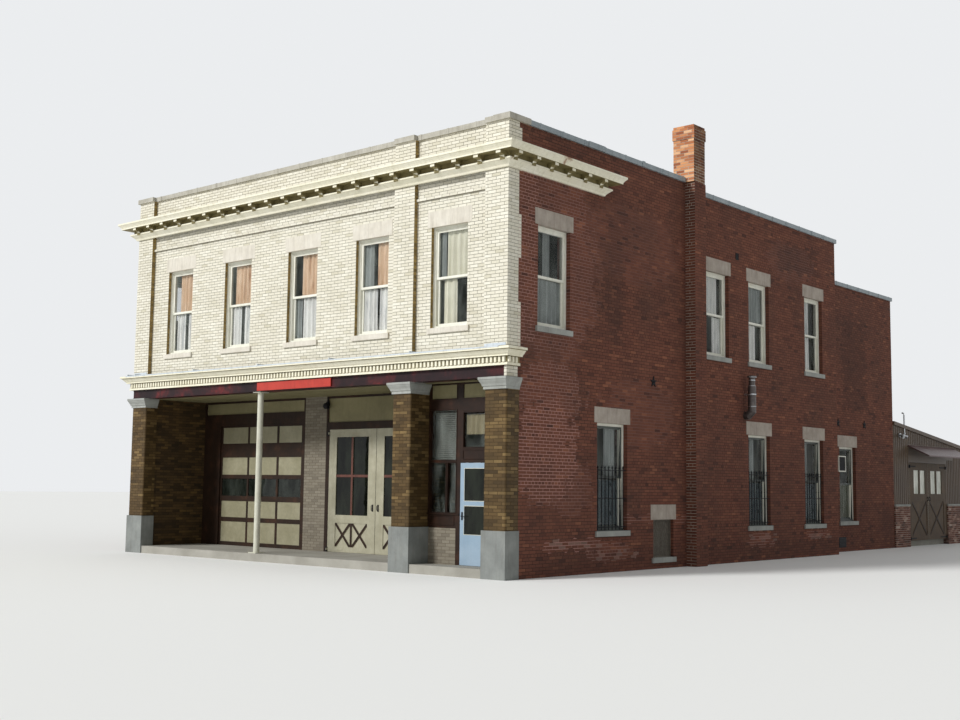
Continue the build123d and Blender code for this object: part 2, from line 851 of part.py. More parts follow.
def build_bay_doors():
    width = (bay_opening[1] - bay_opening[0] - meeting_gap) / 2 - door_gap
    left = Pos(bay_opening[0] + door_gap, porch_depth, 0) * bay_leaf(width)
    right = Pos(bay_opening[1] - door_gap - width, porch_depth, 0) * bay_leaf(width)
    for z in bay_hinge_heights:
        left = left + bay_left_hinge() * hinge_leaf(z, strap_length)
        right = right + bay_right_hinge() * hinge_leaf(-z, strap_length)
    save(left, "bay_door_left")
    save(right, "bay_door_right")


def build_entry():
    y0 = entry_setback
    y1 = entry_back
    x0 = mid_pier[1]
    x1 = entry_post[0]
    bulkhead = block(x0, x1, y0, y1, 0, entry_sill)
    save(bulkhead, "entry_bulkhead")
    b = entry_border
    window_frame = block(x0, x1, y0, y1, entry_sill, entry_rail_bottom)
    bar = entry_transom_bar / 2
    middle = (y0 + y1) / 2
    half = glass_thickness / 2
    lights = (
        (x0 + b, entry_mullion[0], entry_light_bottom, entry_transom - bar),
        (entry_mullion[1], x1, entry_light_bottom, entry_transom - bar),
        (x0 + b, x1, entry_transom + bar, entry_rail_bottom),
    )
    for a, c, z0, z1 in lights:
        window_frame = window_frame - block(a, c, y0 - 1, y1 + 1, z0, z1)
        glass.append(block(a, c, middle - half, middle + half, z0, z1))
    save(window_frame, "entry_window")
    post = block(entry_post[0], entry_post[1], y0, y1, 0, entry_rail_bottom)
    jamb_face = right_pier_face - entry_jamb_width
    jamb = block(jamb_face, right_pier_face, y0, y1, 0, entry_rail_bottom)
    for z in entry_hinge_heights:
        jamb = jamb + entry_hinge() * hinge_pintle(-z)
    save([post, jamb], "entry_posts")
    head = block(x0, right_pier_face, y0, y1, entry_rail_bottom, beam_bottom)
    head = head + block(entry_post[1], jamb_face, y0, y1, entry_door_head, entry_rail_bottom)
    light = block(
        entry_post[1] + b, jamb_face - b / 2, y0 - 1, y1 + 1, transom_glass[0], transom_glass[1],
    )
    head = head - light
    panels = (
        (x0 + b, entry_post[0]),
        (entry_post[1] + entry_panel_margin, right_pier_face - b),
    )
    for a, c in panels:
        head = head - block(a, c, y0 - 1, y0 + entry_panel_depth, *entry_panel_height)
    glass.append(
        block(
            entry_post[1] + b, jamb_face - b / 2,
            middle - half, middle + half, transom_glass[0], transom_glass[1],
        )
    )
    save(head, "entry_head")
    width = jamb_face - entry_post[1] - 2 * door_gap
    door = block(0, width, 0, entry_door_thickness, door_gap, entry_door_head - door_gap)
    e = entry_door_border
    for z0, z1 in entry_door_lights:
        door = glazed(door, e, width - e, z0, z1, entry_pane_depth, entry_door_thickness)
    door = Pos(entry_post[1] + door_gap, entry_setback, 0) * door
    for z in entry_hinge_heights:
        door = door + entry_hinge() * hinge_leaf(-z, entry_strap_length)
    save(door, "entry_door")


def build_annex():
    walls = block(annex_left, annex_right, side_length, annex_rear, -footing_drop, annex_top)
    walls = walls - block(
        annex_left + wall_thickness, annex_right - wall_thickness,
        side_length - 1, annex_rear - wall_thickness, -footing_drop - 1, annex_top + 1,
    )
    rail = middle_of(annex_sill_top, annex_head)
    for place, face in ((on_right, annex_right), (on_left, annex_left)):
        spot = place(face, side_length + annex_window_offset)
        for cut in fit_window(spot, lower_window_width, annex_sill_top, annex_head, rail):
            walls = walls - cut
    save(walls, "annex_walls")


def shed_height(y):
    share = (y - annex_rear) / shed_length
    return shed_high - shed_roof_thickness + (shed_low - shed_high) * share


def shed_side(x0, x1, y0, y1, z0):
    outline = [(y0, z0), (y1, z0), (y1, shed_height(y1)), (y0, shed_height(y0))]
    face = Plane.YZ * make_face(Polyline(outline, close=True))
    return Pos(x0, 0, 0) * extrude(face, x1 - x0, dir=(1, 0, 0))


def wainscot(x0, x1, y0, y1, sides):
    wall = block(x0, x1, y0, y1, -footing_drop, wainscot_top)
    left, right, front, back = [side * wainscot_cap_proud for side in sides]
    low = wainscot_top - wainscot_cap
    return wall + block(x0 - left, x1 + right, y0 - front, y1 + back, low, wainscot_top)


def shed_leaf(width, left_stile):
    leaf = block(0, width, 0, leaf_thickness, door_gap, shed_door_head - door_gap)
    step = shed_light_width + shed_light_gap
    for x in (left_stile, left_stile + step):
        leaf = glazed(leaf, x, x + shed_light_width, *shed_lights, pane_depth, leaf_thickness)
    left = left_stile / 2
    right = (width + left_stile + step + shed_light_width) / 2
    leaf = leaf - block(left, right, -1, leaf_recess, *shed_panel)
    return crossed(leaf, left, right, *shed_panel)


def build_shed():
    t = siding_thickness
    e = wainscot_extra
    d0 = shed_door_low - shed_frame
    d1 = shed_door_high + shed_frame
    left_out = annex_left
    right_out = annex_right
    near = wainscot(right_out - t - e, right_out + e, annex_rear, d0, (0, 1, 0, 0))
    far = wainscot(right_out - t - e, right_out + e, d1, shed_rear, (0, 1, 0, 0))
    back = wainscot(left_out - e, right_out + e, shed_rear - t - e, shed_rear + e, (1, 1, 0, 1))
    other = wainscot(left_out - e, left_out + t + e, annex_rear, shed_rear, (1, 0, 0, 0))
    save([near, far + back + other], "shed_wainscot")
    near = shed_side(right_out - t, right_out, annex_rear, d0, wainscot_top)
    far = shed_side(right_out - t, right_out, d1, shed_rear, wainscot_top)
    back_top = shed_height(shed_rear)
    back = block(left_out, right_out, shed_rear - t, shed_rear, wainscot_top, back_top)
    other = shed_side(left_out, left_out + t, annex_rear, shed_rear, wainscot_top)
    save([near, far + back + other], "shed_siding")
    head = shed_side(right_out - t, right_out, d0, d1, shed_door_head)
    board_top = shed_door_head + shed_head_board
    board = block(right_out, right_out + shed_board_proud, d0, d1, shed_door_head, board_top)
    save(head + board, "shed_door_head")
    frame_low = block(right_out - t, right_out, d0, shed_door_low, 0, shed_door_head)
    frame_high = block(right_out - t, right_out, shed_door_high, d1, 0, shed_door_head)
    for z in shed_hinge_heights:
        frame_low = frame_low + shed_near_hinge() * hinge_pintle(z)
        frame_high = frame_high + shed_far_hinge() * hinge_pintle(-z)
    save([frame_low, frame_high], "shed_jambs")
    outline = [
        (annex_rear, shed_high), (shed_rear + shed_eave, shed_low),
        (shed_rear + shed_eave, shed_low - shed_roof_thickness),
        (shed_rear, shed_height(shed_rear)), (annex_rear, shed_high - shed_roof_thickness),
    ]
    face = Plane.YZ * make_face(Polyline(outline, close=True))
    roof = Pos(left_out - shed_eave, 0, 0) * extrude(
        face, right_out - left_out + 2 * shed_eave, dir=(1, 0, 0),
    )
    save(roof, "shed_roof")
    outline = [
        (right_out, awning_top), (right_out + awning_reach, awning_front + awning_thickness),
        (right_out + awning_reach, awning_front), (right_out, awning_top - awning_thickness),
    ]
    face = Plane.XZ * make_face(Polyline(outline, close=True))
    awning = Pos(0, annex_rear + awning_start, 0) * extrude(face, awning_width, dir=(0, 1, 0))
    save(awning, "shed_awning")
    width = (shed_door_width - meeting_gap) / 2 - door_gap
    inner = width - shed_outer_stile - 2 * shed_light_width - shed_light_gap
    near = on_right(right_out, shed_door_low + door_gap) * shed_leaf(width, shed_outer_stile)
    far = on_right(right_out, shed_door_high - door_gap - width) * shed_leaf(width, inner)
    for z in shed_hinge_heights:
        near = near + shed_near_hinge() * hinge_leaf(z, strap_length)
        far = far + shed_far_hinge() * hinge_leaf(-z, strap_length)
    save(near, "shed_door_near")
    save(far, "shed_door_far")


build_front_wall()
build_side_walls()
build_floors()
build_piers()
build_beam()
build_cornices()
build_coping()
build_chimney()
build_porch()
build_garage_door()
build_bay_doors()
build_entry()
build_annex()
build_shed()
save(frames, "window_frames")
save(glass, "window_glass")
save(lintels, "lintels")
save(sills, "sills")
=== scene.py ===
import math
import random
import bpy
import numpy as np
from mathutils import Matrix, Vector


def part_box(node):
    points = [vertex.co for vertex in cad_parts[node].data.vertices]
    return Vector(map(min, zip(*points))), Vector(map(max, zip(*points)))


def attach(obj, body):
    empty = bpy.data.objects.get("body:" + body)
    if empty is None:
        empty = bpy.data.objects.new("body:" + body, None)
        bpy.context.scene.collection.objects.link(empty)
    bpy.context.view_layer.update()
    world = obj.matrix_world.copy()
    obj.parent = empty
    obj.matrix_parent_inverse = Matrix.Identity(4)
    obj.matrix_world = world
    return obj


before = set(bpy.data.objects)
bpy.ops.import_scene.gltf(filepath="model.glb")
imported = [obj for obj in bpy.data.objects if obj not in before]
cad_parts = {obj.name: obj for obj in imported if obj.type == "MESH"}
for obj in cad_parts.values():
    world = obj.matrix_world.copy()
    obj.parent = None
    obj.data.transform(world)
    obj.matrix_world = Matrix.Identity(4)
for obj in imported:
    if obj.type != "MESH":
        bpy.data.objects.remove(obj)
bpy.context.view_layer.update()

print("stage 1: camera, floor and light")

# The row frame's origin is the bottom centre of the building; the corner of the street front
# and the side wall, at the porch floor, is where the camera was solved from.
wallLow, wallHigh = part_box("right_wall")
frontLow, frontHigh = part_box("front_wall")
corner = Vector((wallHigh.x, frontLow.y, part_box("ground_floor")[1].z))
buildingLeft = frontLow.x - corner.x

cameraSettings = {
    "place": (14.99, -18.28, 1.59),   # metres from the front corner
    "turn": 40.59,                    # degrees from straight at the front, towards the left
    "tilt": 5.79,
    "roll": 0.72,
    "lens": 46.52,
    "sensor": 36,
    "farthest": 500,
}


def addObject(name, data):
    thing = bpy.data.objects.new(name, data)
    bpy.context.scene.collection.objects.link(thing)
    return thing


def addCamera():
    s = cameraSettings
    turn, tilt, roll = (math.radians(s[k]) for k in ("turn", "tilt", "roll"))
    ahead = Vector((-math.sin(turn), math.cos(turn), 0))
    right = Vector((math.cos(turn), math.sin(turn), 0))
    up = Vector((0, 0, 1))
    look = math.cos(tilt) * ahead + math.sin(tilt) * up
    head = -math.sin(tilt) * ahead + math.cos(tilt) * up
    side = math.cos(roll) * right + math.sin(roll) * head
    top = -math.sin(roll) * right + math.cos(roll) * head
    data = bpy.data.cameras.new("camera")
    data.lens = s["lens"]
    data.sensor_width = s["sensor"]
    data.clip_end = s["farthest"]
    camera = addObject("camera", data)
    turned = Matrix((side, top, -look)).transposed().to_4x4()
    camera.matrix_world = Matrix.Translation(corner + Vector(s["place"])) @ turned
    bpy.context.scene.camera = camera


addCamera()


def linear(text):
    out = []
    for i in (1, 3, 5):
        c = int(text[i:i + 2], 16) / 255
        out.append(c / 12.92 if c <= 0.04045 else ((c + 0.055) / 1.055) ** 2.4)
    return (*out, 1.0)


# Settings are the node's own; inputs are named by label, or in0, in1 and so on by number.
def addNode(tree, kind, settings=None, **inputs):
    node = tree.nodes.new(kind)
    for name, value in (settings or {}).items():
        if name == "stops":   # a ramp's places, in hundredths, each with its colour
            ramp = node.color_ramp.elements
            places, colours = value.split()[::2], value.split()[1::2]
            while len(ramp) < len(places):
                ramp.new(0.5)
            for stop, place, colour in zip(ramp, places, colours):
                stop.position = int(place) / 100
                stop.color = linear(colour)
        else:
            setattr(node, name, value)
    for name, value in inputs.items():
        key = int(name[2:]) if name.startswith("in") and name[2:].isdigit() else name.replace("_", " ")
        if isinstance(value, bpy.types.NodeSocket):
            tree.links.new(value, node.inputs[key])
        else:
            node.inputs[key].default_value = value
    return node


stageSettings = {
    "floorColour": "#e9e9e6",
    "floorRoughness": 0.9,
    "floorReach": 160,
    "skyColour": "#f4f6f8",
    "seenSky": 0.92,       # what the camera and glossy surfaces see
    "skyLight": 0.52,      # what lights the building
    "sunLight": 2.9,
    "sunSize": 12,         # degrees, wide enough for soft shadow edges
    "sunFrom": (-0.36, -1.0, 0.66),
}


def addStage():
    s = stageSettings
    mesh = bpy.data.meshes.new("floor")
    r = s["floorReach"]
    mesh.from_pydata([(-r, -r, 0), (r, -r, 0), (r, r, 0), (-r, r, 0)], [], [(0, 1, 2, 3)])
    addObject("floor", mesh)
    plain = bpy.data.materials.new("pale floor")
    plain.use_nodes = True
    shader = plain.node_tree.nodes["Principled BSDF"]
    shader.inputs["Base Color"].default_value = linear(s["floorColour"])
    shader.inputs["Roughness"].default_value = s["floorRoughness"]
    mesh.materials.append(plain)
    world = bpy.data.worlds.new("studio")
    bpy.context.scene.world = world
    world.use_nodes = True
    tree = world.node_tree
    tree.nodes.clear()
    path = addNode(tree, "ShaderNodeLightPath").outputs
    seen = addNode(tree, "ShaderNodeMath", {"operation": "MAXIMUM"},
                   in0=path["Is Camera Ray"], in1=path["Is Glossy Ray"])
    strength = addNode(tree, "ShaderNodeMapRange", None, Value=seen.outputs[0],
                       To_Min=s["skyLight"], To_Max=s["seenSky"])
    back = addNode(tree, "ShaderNodeBackground", None, Color=linear(s["skyColour"]),
                   Strength=strength.outputs[0])
    addNode(tree, "ShaderNodeOutputWorld", None, in0=back.outputs[0])
    sun = bpy.data.lights.new("key", "SUN")
    sun.energy = s["sunLight"]
    sun.angle = math.radians(s["sunSize"])
    addObject("key", sun).rotation_euler = Vector(s["sunFrom"]).to_track_quat("Z", "Y").to_euler()
    bpy.context.scene.view_settings.view_transform = "Standard"


addStage()

print("stage 2: finishes")


def newFinish(name):
    finish = bpy.data.materials.new(name)
    finish.use_nodes = True
    tree = finish.node_tree
    return finish, tree, tree.nodes["Principled BSDF"]


def perMetre(mm):
    return 1000 / mm


# Brick of every kind: the tone of each brick is its own, the wall's weather goes over all of them.
# Stops of the tone (hundredths, colour), weather's colour, amount and width in mm, grain in mm, its depth
# in metres, roughness from and to, and what else differs.
brickFinishes = {
    # glazed cream face brick: hard, smooth, slightly glossy, with soot in the glaze
    "glazedCreamBrick": ("0 #c6c0ab 8 #d4cfbd 60 #dbd6c6 100 #e2decf", "#b0a993", 0.25, 900, 9, 0.0006, 0.38,
        0.6, {"gloss": 0.4}),
    # the cream brick's unglazed body on the returns of panels and openings, darkened further as painted shade
    "buffBodyShadedBrick": ("0 #7a673d 40 #927946 100 #a68e58", "#5b4c30", 0.35, 500, 7, 0.001, 0.7, 0.9),
    # pressed red face brick: dry and matt, some bricks burnt nearly black
    "pressedRedBrick": ("0 #4c3129 6 #653e32 50 #6e4436 94 #764a3a 100 #885742", "#43332d", 0.5, 1300, 6,
        0.0012, 0.75, 0.95),
    # amber glazed brick of the piers, mottled by its salt glaze
    "amberBrick": ("0 #3f3019 20 #4d3b20 70 #5c482a 100 #7b6540", "#362c1c", 0.45, 450, 8, 0.0008, 0.4, 0.65),
    # the same brick on the porch's inner walls, darkened as painted shade
    "porchShadeAmberBrick": ("0 #33281a 40 #493823 80 #59452a 100 #695331", "#2c241b", 0.4, 900, 8, 0.0008, 0.55, 0.8),
    # small tan brick of the later porch pier and the entry's bulkhead
    "tanBrick": ("0 #6e675b 40 #787163 100 #837c6e", "#6f675b", 0.25, 600, 7, 0.001, 0.7, 0.9),
    # orange common brick of the chimney stack, weathered pale on its edges
    "orangeBrick": ("0 #94573b 20 #bd7a51 70 #d69869 100 #e8ba90", "#7a5a4c", 0.35, 400, 6, 0.0015, 0.8, 0.95),
    # reused brick of the shed's wainscot, of many kinds and partly whitewashed
    "mixedBrick": ("0 #43302c 40 #69443a 75 #7d5a4f 93 #94796c 100 #b5a598", "#5f4c45", 0.3, 500, 6, 0.0012,
        0.75, 0.95),
}
# the soot colour is real soot on the walls, and painted shade on the chimney stack's right and rear faces
brickAge = {"soot": "#2f2522", "bloom": "#a58f85"}


def mixed(tree, amount, one, other, kind="MIX"):
    return addNode(tree, "ShaderNodeMix", {"data_type": "RGBA", "blend_type": kind},
                   in0=amount, in6=one, in7=other).outputs[2]


def ranged(tree, value, fromLow, fromHigh, toLow, toHigh):
    return addNode(tree, "ShaderNodeMapRange", None, Value=value, From_Min=fromLow, From_Max=fromHigh,
                   To_Min=toLow, To_Max=toHigh).outputs[0]


def noised(tree, spot, mm, detail=4.0):
    return addNode(tree, "ShaderNodeTexNoise", None, Vector=spot, Scale=perMetre(mm), Detail=detail,
                   Roughness=0.62).outputs[0]


# Fine grain speckles a colour and drives its roughness and bump.
def addGrain(tree, shader, colour, grain, speckle, roughness, strength, depth):
    speckled = mixed(tree, 1.0, colour, ranged(tree, grain, 0.3, 0.7, *speckle), "MULTIPLY")
    tree.links.new(speckled, shader.inputs["Base Color"])
    tree.links.new(ranged(tree, grain, 0.3, 0.7, *roughness), shader.inputs["Roughness"])
    bump = addNode(tree, "ShaderNodeBump", None, Height=grain, Strength=strength, Distance=depth)
    tree.links.new(bump.outputs[0], shader.inputs["Normal"])


def objectSpot(tree):
    return addNode(tree, "ShaderNodeTexCoord").outputs["Object"]


def stretched(tree, spot, scale):
    return addNode(tree, "ShaderNodeMapping", None, Vector=spot, Scale=scale).outputs[0]


def worked(tree, operation, *values):
    inputs = {"in" + str(i): value for i, value in enumerate(values)}
    return addNode(tree, "ShaderNodeMath", {"operation": operation}, **inputs).outputs[0]


def makeBrick(name):
    stops, weather, amount, weatherSize, grainSize, depth, smooth, rough, *more = brickFinishes[name]
    finish, tree, shader = newFinish(name)
    spot = objectSpot(tree)
    tone, soot, bloom = (
        addNode(tree, "ShaderNodeAttribute", {"attribute_name": kind}).outputs["Fac"]
        for kind in ("tone", "soot", "bloom"))
    clay = addNode(tree, "ShaderNodeValToRGB", {"stops": stops}, Fac=tone).outputs[0]
    cloud = noised(tree, spot, weatherSize, 6.0)
    aged = mixed(tree, ranged(tree, cloud, 0.42, 0.72, 0.0, amount), clay, linear(weather))
    aged = mixed(tree, soot, aged, linear(brickAge["soot"]))
    grain = noised(tree, spot, grainSize)
    salt = worked(tree, "MULTIPLY", bloom, ranged(tree, grain, 0.35, 0.6, 0.25, 1.0))
    aged = mixed(tree, salt, aged, linear(brickAge["bloom"]))
    addGrain(tree, shader, aged, grain, (0.86, 1.12), (smooth, rough), 0.6, depth)
    shader.inputs["Specular IOR Level"].default_value = more[0]["gloss"] if more else 0.2
    return finish


bricks = {name: makeBrick(name) for name in brickFinishes}

# All other surfaces: stops (hundredths, colour) and width in mm of the colour patches, colour and amount of
# the dirt that rain draws down, grain in mm, its depth in metres, roughness from and to, and what else
# differs; "run" stretches the grain along an axis.
woven = {"run": (1, 1, 0.3), "sheen": 0.2}
surfaces = {
    # lime mortar, sandy and dull, greyed by soot between the cream bricks
    "greyLimeMortar": ("30 #736f62 70 #928c7b", 700, "#57534a", 0.3, 4, 0.002, 0.85, 0.98),
    "umberMortar": ("30 #31231f 70 #4c3931", 900, "#33261f", 0.3, 4, 0.002, 0.88, 0.98),
    "amberMortar": ("30 #33291a 70 #493b27", 500, "#4a3d28", 0.3, 4, 0.002, 0.88, 0.98),
    # darker mortar of the porch's inner walls, as painted shade
    "porchShadeMortar": ("30 #2c241a 70 #40341f", 500, "#1f1a14", 0.3, 4, 0.002, 0.88, 0.98),
    "greyPinkMortar": ("30 #60574c 70 #73695b", 400, "#6f6459", 0.3, 4, 0.002, 0.85, 0.98),
    "whitishMortar": ("30 #a3978a 70 #bfb5a6", 400, "#6f6459", 0.3, 4, 0.002, 0.85, 0.98),
    # limewashed plaster: chalky, with trowel marks and hairline dirt
    "limewashPlaster": ("30 #b9b3a2 70 #c9c4b5", 1500, "#8f8878", 0.25, 60, 0.002, 0.85, 0.95),
    # oil paint on pine and pressed tin: cream; two darker copies carry painted shade, for under the cornices and in
    # the porch
    "creamOilPaint": ("30 #e0dbc2 50 #e7e2cc 72 #ece8d6", 900, "#a79f7a", 0.3, 12, 0.0005, 0.4, 0.6,
        {"run": (1, 1, 0.2)}),
    # cream paint darkened with painted shade and some soot, for the cornices' soffits, undersides and the faces
    # between modillions and dentils
    "sootyCreamPaint": ("30 #6b603c 50 #7f744c 72 #92875e", 300, "#40371f", 0.3, 12, 0.0005, 0.5, 0.7),
    "creamSashPaint": ("30 #dad9ca 50 #e3e2d5 72 #eae9de", 500, "#98947a", 0.25, 9, 0.0004, 0.4, 0.6,
        {"run": (1, 1, 0.15)}),
    "slateSashPaint": ("30 #3b403d 50 #464b47 72 #525752", 300, "#2b2f2c", 0.25, 9, 0.0004, 0.4, 0.6,
        {"run": (1, 1, 0.15)}),
    "creamDoorPaint": ("30 #97937d 50 #a39f89 72 #b4b09b", 350, "#8a8168", 0.3, 9, 0.0005, 0.4, 0.6,
        {"run": (1, 1, 0.15)}),
    # cream paint darkened to olive as painted shade, for the porch ceiling and the panels over its doors
    "dullCreamPaint": ("30 #736c4d 50 #7f7857 72 #8a8361", 600, "#5d563c", 0.2, 12, 0.0005, 0.5, 0.7,
        {"run": (0.2, 1, 1)}),
    # red lead and maroon enamel on a steel beam, chalked and patched
    "maroonSteelPaint": ("34 #1b1013 48 #291619 58 #471c1e 70 #762525", 520, "#241b1f", 0.3, 10, 0.0008, 0.35,
        0.6, {"gloss": 0.2}),
    # baked enamel sheet, faded to orange-red
    "redEnamel": ("30 #a83229 70 #bb4033", 500, "#7a241f", 0.3, 20, 0.0003, 0.25, 0.4),
    # white alkyd paint on a steel tube and an aluminium door, cool and fairly glossy
    "whiteSteelPaint": ("30 #bdbcab 70 #cfcebf", 200, "#8a7f66", 0.4, 12, 0.0004, 0.3, 0.5),
    "whiteAluminiumPaint": ("30 #869cae 70 #98abbb", 500, "#8c98a0", 0.25, 14, 0.0002, 0.25, 0.4),
    # brown stain on pine boards, grain showing through, worn reddish
    "brownStainedPine": ("30 #20160f 55 #2c1d13 72 #3f281a", 300, "#201712", 0.3, 16, 0.0012, 0.45, 0.7,
        {"run": (1, 1, 0.05), "gloss": 0.2}),
    # dark varnished oak of the storefront: crazed varnish, nearly black in the mouldings
    "darkVarnishedOak": ("30 #1b100a 55 #28180f 75 #3a2216", 260, "#1b1310", 0.3, 14, 0.001, 0.3, 0.55,
        {"run": (1, 1, 0.04), "gloss": 0.22}),
    # red-brown enamel of the glazing bars
    "redBrownPaint": ("30 #502c23 70 #633a2e", 200, "#3a211b", 0.3, 12, 0.0005, 0.4, 0.6),
    # olive-brown paint on plank doors
    "oliveDoorPaint": ("30 #3c2c1a 55 #47351f 75 #543f28", 320, "#352e22", 0.35, 14, 0.001, 0.5, 0.75,
        {"run": (1, 1, 0.05)}),
    "beigeDoorPaint": ("30 #837e64 55 #8d886f 75 #97927a", 420, "#7a765f", 0.12, 60, 0.0002, 0.35, 0.55),
    # bluish grey sandstone, tooled with fine upright lines and speckled
    "tooledSandstone": ("30 #978d82 50 #a59b90 72 #b2a89d", 260, "#6a615a", 0.35, 12, 0.003, 0.8, 0.95,
        {"run": (1, 1, 0.06)}),
    # a paler copy of the sandstone for the street front: painted light on the lit front
    "paleSandstone": ("30 #c9c3b5 50 #d2ccbf 72 #d9d4c8", 260, "#8f8577", 0.3, 12, 0.003, 0.8, 0.95,
        {"run": (1, 1, 0.06)}),
    "greyBaseStone": ("30 #717471 50 #7e817e 72 #8c8f8b", 420, "#5d5a53", 0.35, 7, 0.0015, 0.75, 0.92),
    "dressedSandstone": ("30 #8d8f8a 50 #9b9d98 72 #a8aaa5", 420, "#6d6a62", 0.35, 7, 0.0015, 0.75, 0.92),
    # clay coping tile, salt-glazed grey-green on the sides and plain buff on the street front
    "glazedCopingTile": ("30 #7d868a 50 #8b9498 72 #99a1a4", 350, "#4f4e46", 0.3, 10, 0.001, 0.3, 0.6),
    "buffCopingTile": ("30 #9d998c 50 #aeaa9e 72 #bcb9ae", 350, "#6b6256", 0.4, 10, 0.001, 0.6, 0.85),
    # mopped bitumen with fine stone chips
    "chippedBitumen": ("30 #2f3031 55 #3c3d3e 75 #565756", 1800, "#232424", 0.0, 5, 0.004, 0.75, 0.95),
    # galvanised sheet, weathered dull brown-grey, and its bright new bands
    "weatheredGalvanised": ("30 #4f4947 55 #5f5957 75 #736d69", 90, "#46362e", 0.5, 25, 0.0006, 0.35, 0.6,
        {"metallic": 0.7}),
    "brightGalvanised": ("30 #a9abad 70 #c4c6c8", 40, "#77746e", 0.3, 15, 0.0003, 0.2, 0.4, {"metallic": 0.9}),
    "blueWhiteFlashing": ("30 #b9c2c9 70 #d0d6da", 300, "#868074", 0.5, 25, 0.0012, 0.3, 0.5),
    # wrought iron, brushed with black paint and pitted
    "blackIron": ("30 #16171a 60 #202124 75 #33261f", 60, "#2e1f18", 0.3, 6, 0.0008, 0.5, 0.75, {"gloss": 0.15}),
    # brown baked paint on ribbed steel sheet
    "brownSteelSheet": ("30 #47382a 55 #51402f 75 #5c4a37", 900, "#3a332f", 0.35, 30, 0.0004, 0.35, 0.55),
    "maroonSteelSheet": ("30 #4f3837 70 #5b4240", 700, "#3c3030", 0.25, 30, 0.0004, 0.3, 0.5),
    # worn broom-finished concrete
    "broomedConcrete": ("30 #8a877e 50 #98958c 72 #a6a39a", 800, "#615e56", 0.0, 9, 0.0015, 0.8, 0.95,
        {"run": (1, 0.1, 1)}),
    # pine floor boards and joists, sawn and greyed
    "sawnPine": ("30 #6b573d 55 #7d674a 75 #8e7756", 300, "#4d3e2c", 0.0, 16, 0.001, 0.7, 0.9, {"run": (0.05, 1, 1)}),
    # galvanised wire cloth, rusted brown
    "rustyWire": ("30 #57524a 70 #736c60", 50, "#2b231c", 0.3, 8, 0.0005, 0.6, 0.85),
    # woven cotton curtains; 2.5 mm threads so that the weave shows
    "peachCotton": ("30 #e6c29f 70 #f2d4b5", 400, "#a27352", 0.9, 2.5, 0.0006, 0.85, 0.95, woven),
    "whiteVoile": ("30 #e9e9e5 70 #f4f4f0", 400, "#87919a", 0.8, 2.5, 0.0006, 0.85, 0.95, woven),
    "creamVoile": ("30 #e2dfc8 70 #efecd8", 400, "#a5a084", 0.25, 2.5, 0.0006, 0.85, 0.95, woven),
    "greyLining": ("30 #8b918f 70 #9aa09e", 500, "#6d7271", 0.2, 2.5, 0.0006, 0.85, 0.95, woven),
    "blueLining": ("30 #5a666b 70 #687479", 500, "#454e52", 0.2, 2.5, 0.0006, 0.85, 0.95, woven),
    "oliveLining": ("30 #626455 70 #707262", 500, "#4c4d40", 0.2, 2.5, 0.0006, 0.85, 0.95, woven),
    "yellowedVoile": ("30 #8d8468 70 #a59c7d", 400, "#6c654e", 0.25, 2.5, 0.0006, 0.85, 0.95, woven),
    # pleated blind of waxed cloth
    "waxedBlind": ("30 #4f514a 70 #5d5f58", 300, "#55564f", 0.2, 3, 0.0004, 0.6, 0.8, {"run": (0.3, 1, 1),
        "sheen": 0.1}),
}


def makeSurface(name):
    stops, size, dirt, streak, grainSize, depth, smooth, rough, *more = surfaces[name]
    more = more[0] if more else {}
    finish, tree, shader = newFinish(name)
    spot = objectSpot(tree)
    colour = addNode(tree, "ShaderNodeValToRGB", {"stops": stops}, Fac=noised(tree, spot, size, 6.0)).outputs[0]
    if streak:
        run = noised(tree, stretched(tree, spot, (1, 1, 0.12)), 90, 5.0)
        colour = mixed(tree, ranged(tree, run, 0.5, 0.75, 0.0, streak), colour, linear(dirt))
    fine = stretched(tree, spot, more.get("run", (1, 1, 1)))
    addGrain(tree, shader, colour, noised(tree, fine, grainSize), (0.9, 1.08), (smooth, rough), 0.7, depth)
    shader.inputs["Metallic"].default_value = more.get("metallic", 0.0)
    shader.inputs["Sheen Weight"].default_value = more.get("sheen", 0.0)
    shader.inputs["Specular IOR Level"].default_value = more.get("gloss", 0.2 if smooth > 0.65 else 0.35)
    return finish


finishes = {name: makeSurface(name) for name in surfaces}

# Finishes with ragged patches of another colour, each with its middle (along, height) from the front corner
# at the porch floor, half size and amount: pale lime mortar where the red walls were pointed again, and rust
# where a leaking seam of the gutter has stained the side cornice.
patched = {
    "repointedUmberMortar": {
        "base": "umberMortar", "colour": "#b0867c", "shift": (0.0, 1.8, 0.5), "edge": (1.05, 0.9),
        "patches": [
            ((1.25, 2.30), (1.05, 1.15), 0.9), ((2.1, 1.55), (0.7, 0.55), 0.5), ((5.3, 0.92), (1.6, 0.09), 0.7),
            ((1.4, 3.5), (1.1, 0.6), 0.6), ((1.5, 6.1), (1.6, 2.1), 0.5), ((0.3, 6.3), (0.8, 2.2), 0.8),
            ((4.6, 3.2), (1.5, 0.8), 0.3), ((2.2, 0.42), (1.2, 0.12), 0.9), ((3.6, 0.25), (0.8, 0.22), 0.6),
            ((10.1, 0.35), (0.7, 0.22), 0.7), ((13.2, 0.42), (0.6, 0.12), 0.8), ((11.9, 7.6), (1.4, 0.5), 0.4),
            ((4.4, 6.9), (1.9, 0.9), 0.3)],
    },
    "rustStainedCreamPaint": {
        "base": "creamOilPaint", "colour": "#8a5a34", "torn": 1.6, "edge": (2.0, 1.0),
        "patches": [((1.42, 8.2), (0.16, 0.07), 0.8), ((1.36, 8.1), (0.05, 0.16), 0.8),
                    ((-0.1, 7.98), (0.03, 0.1), 0.8)],
    },
}


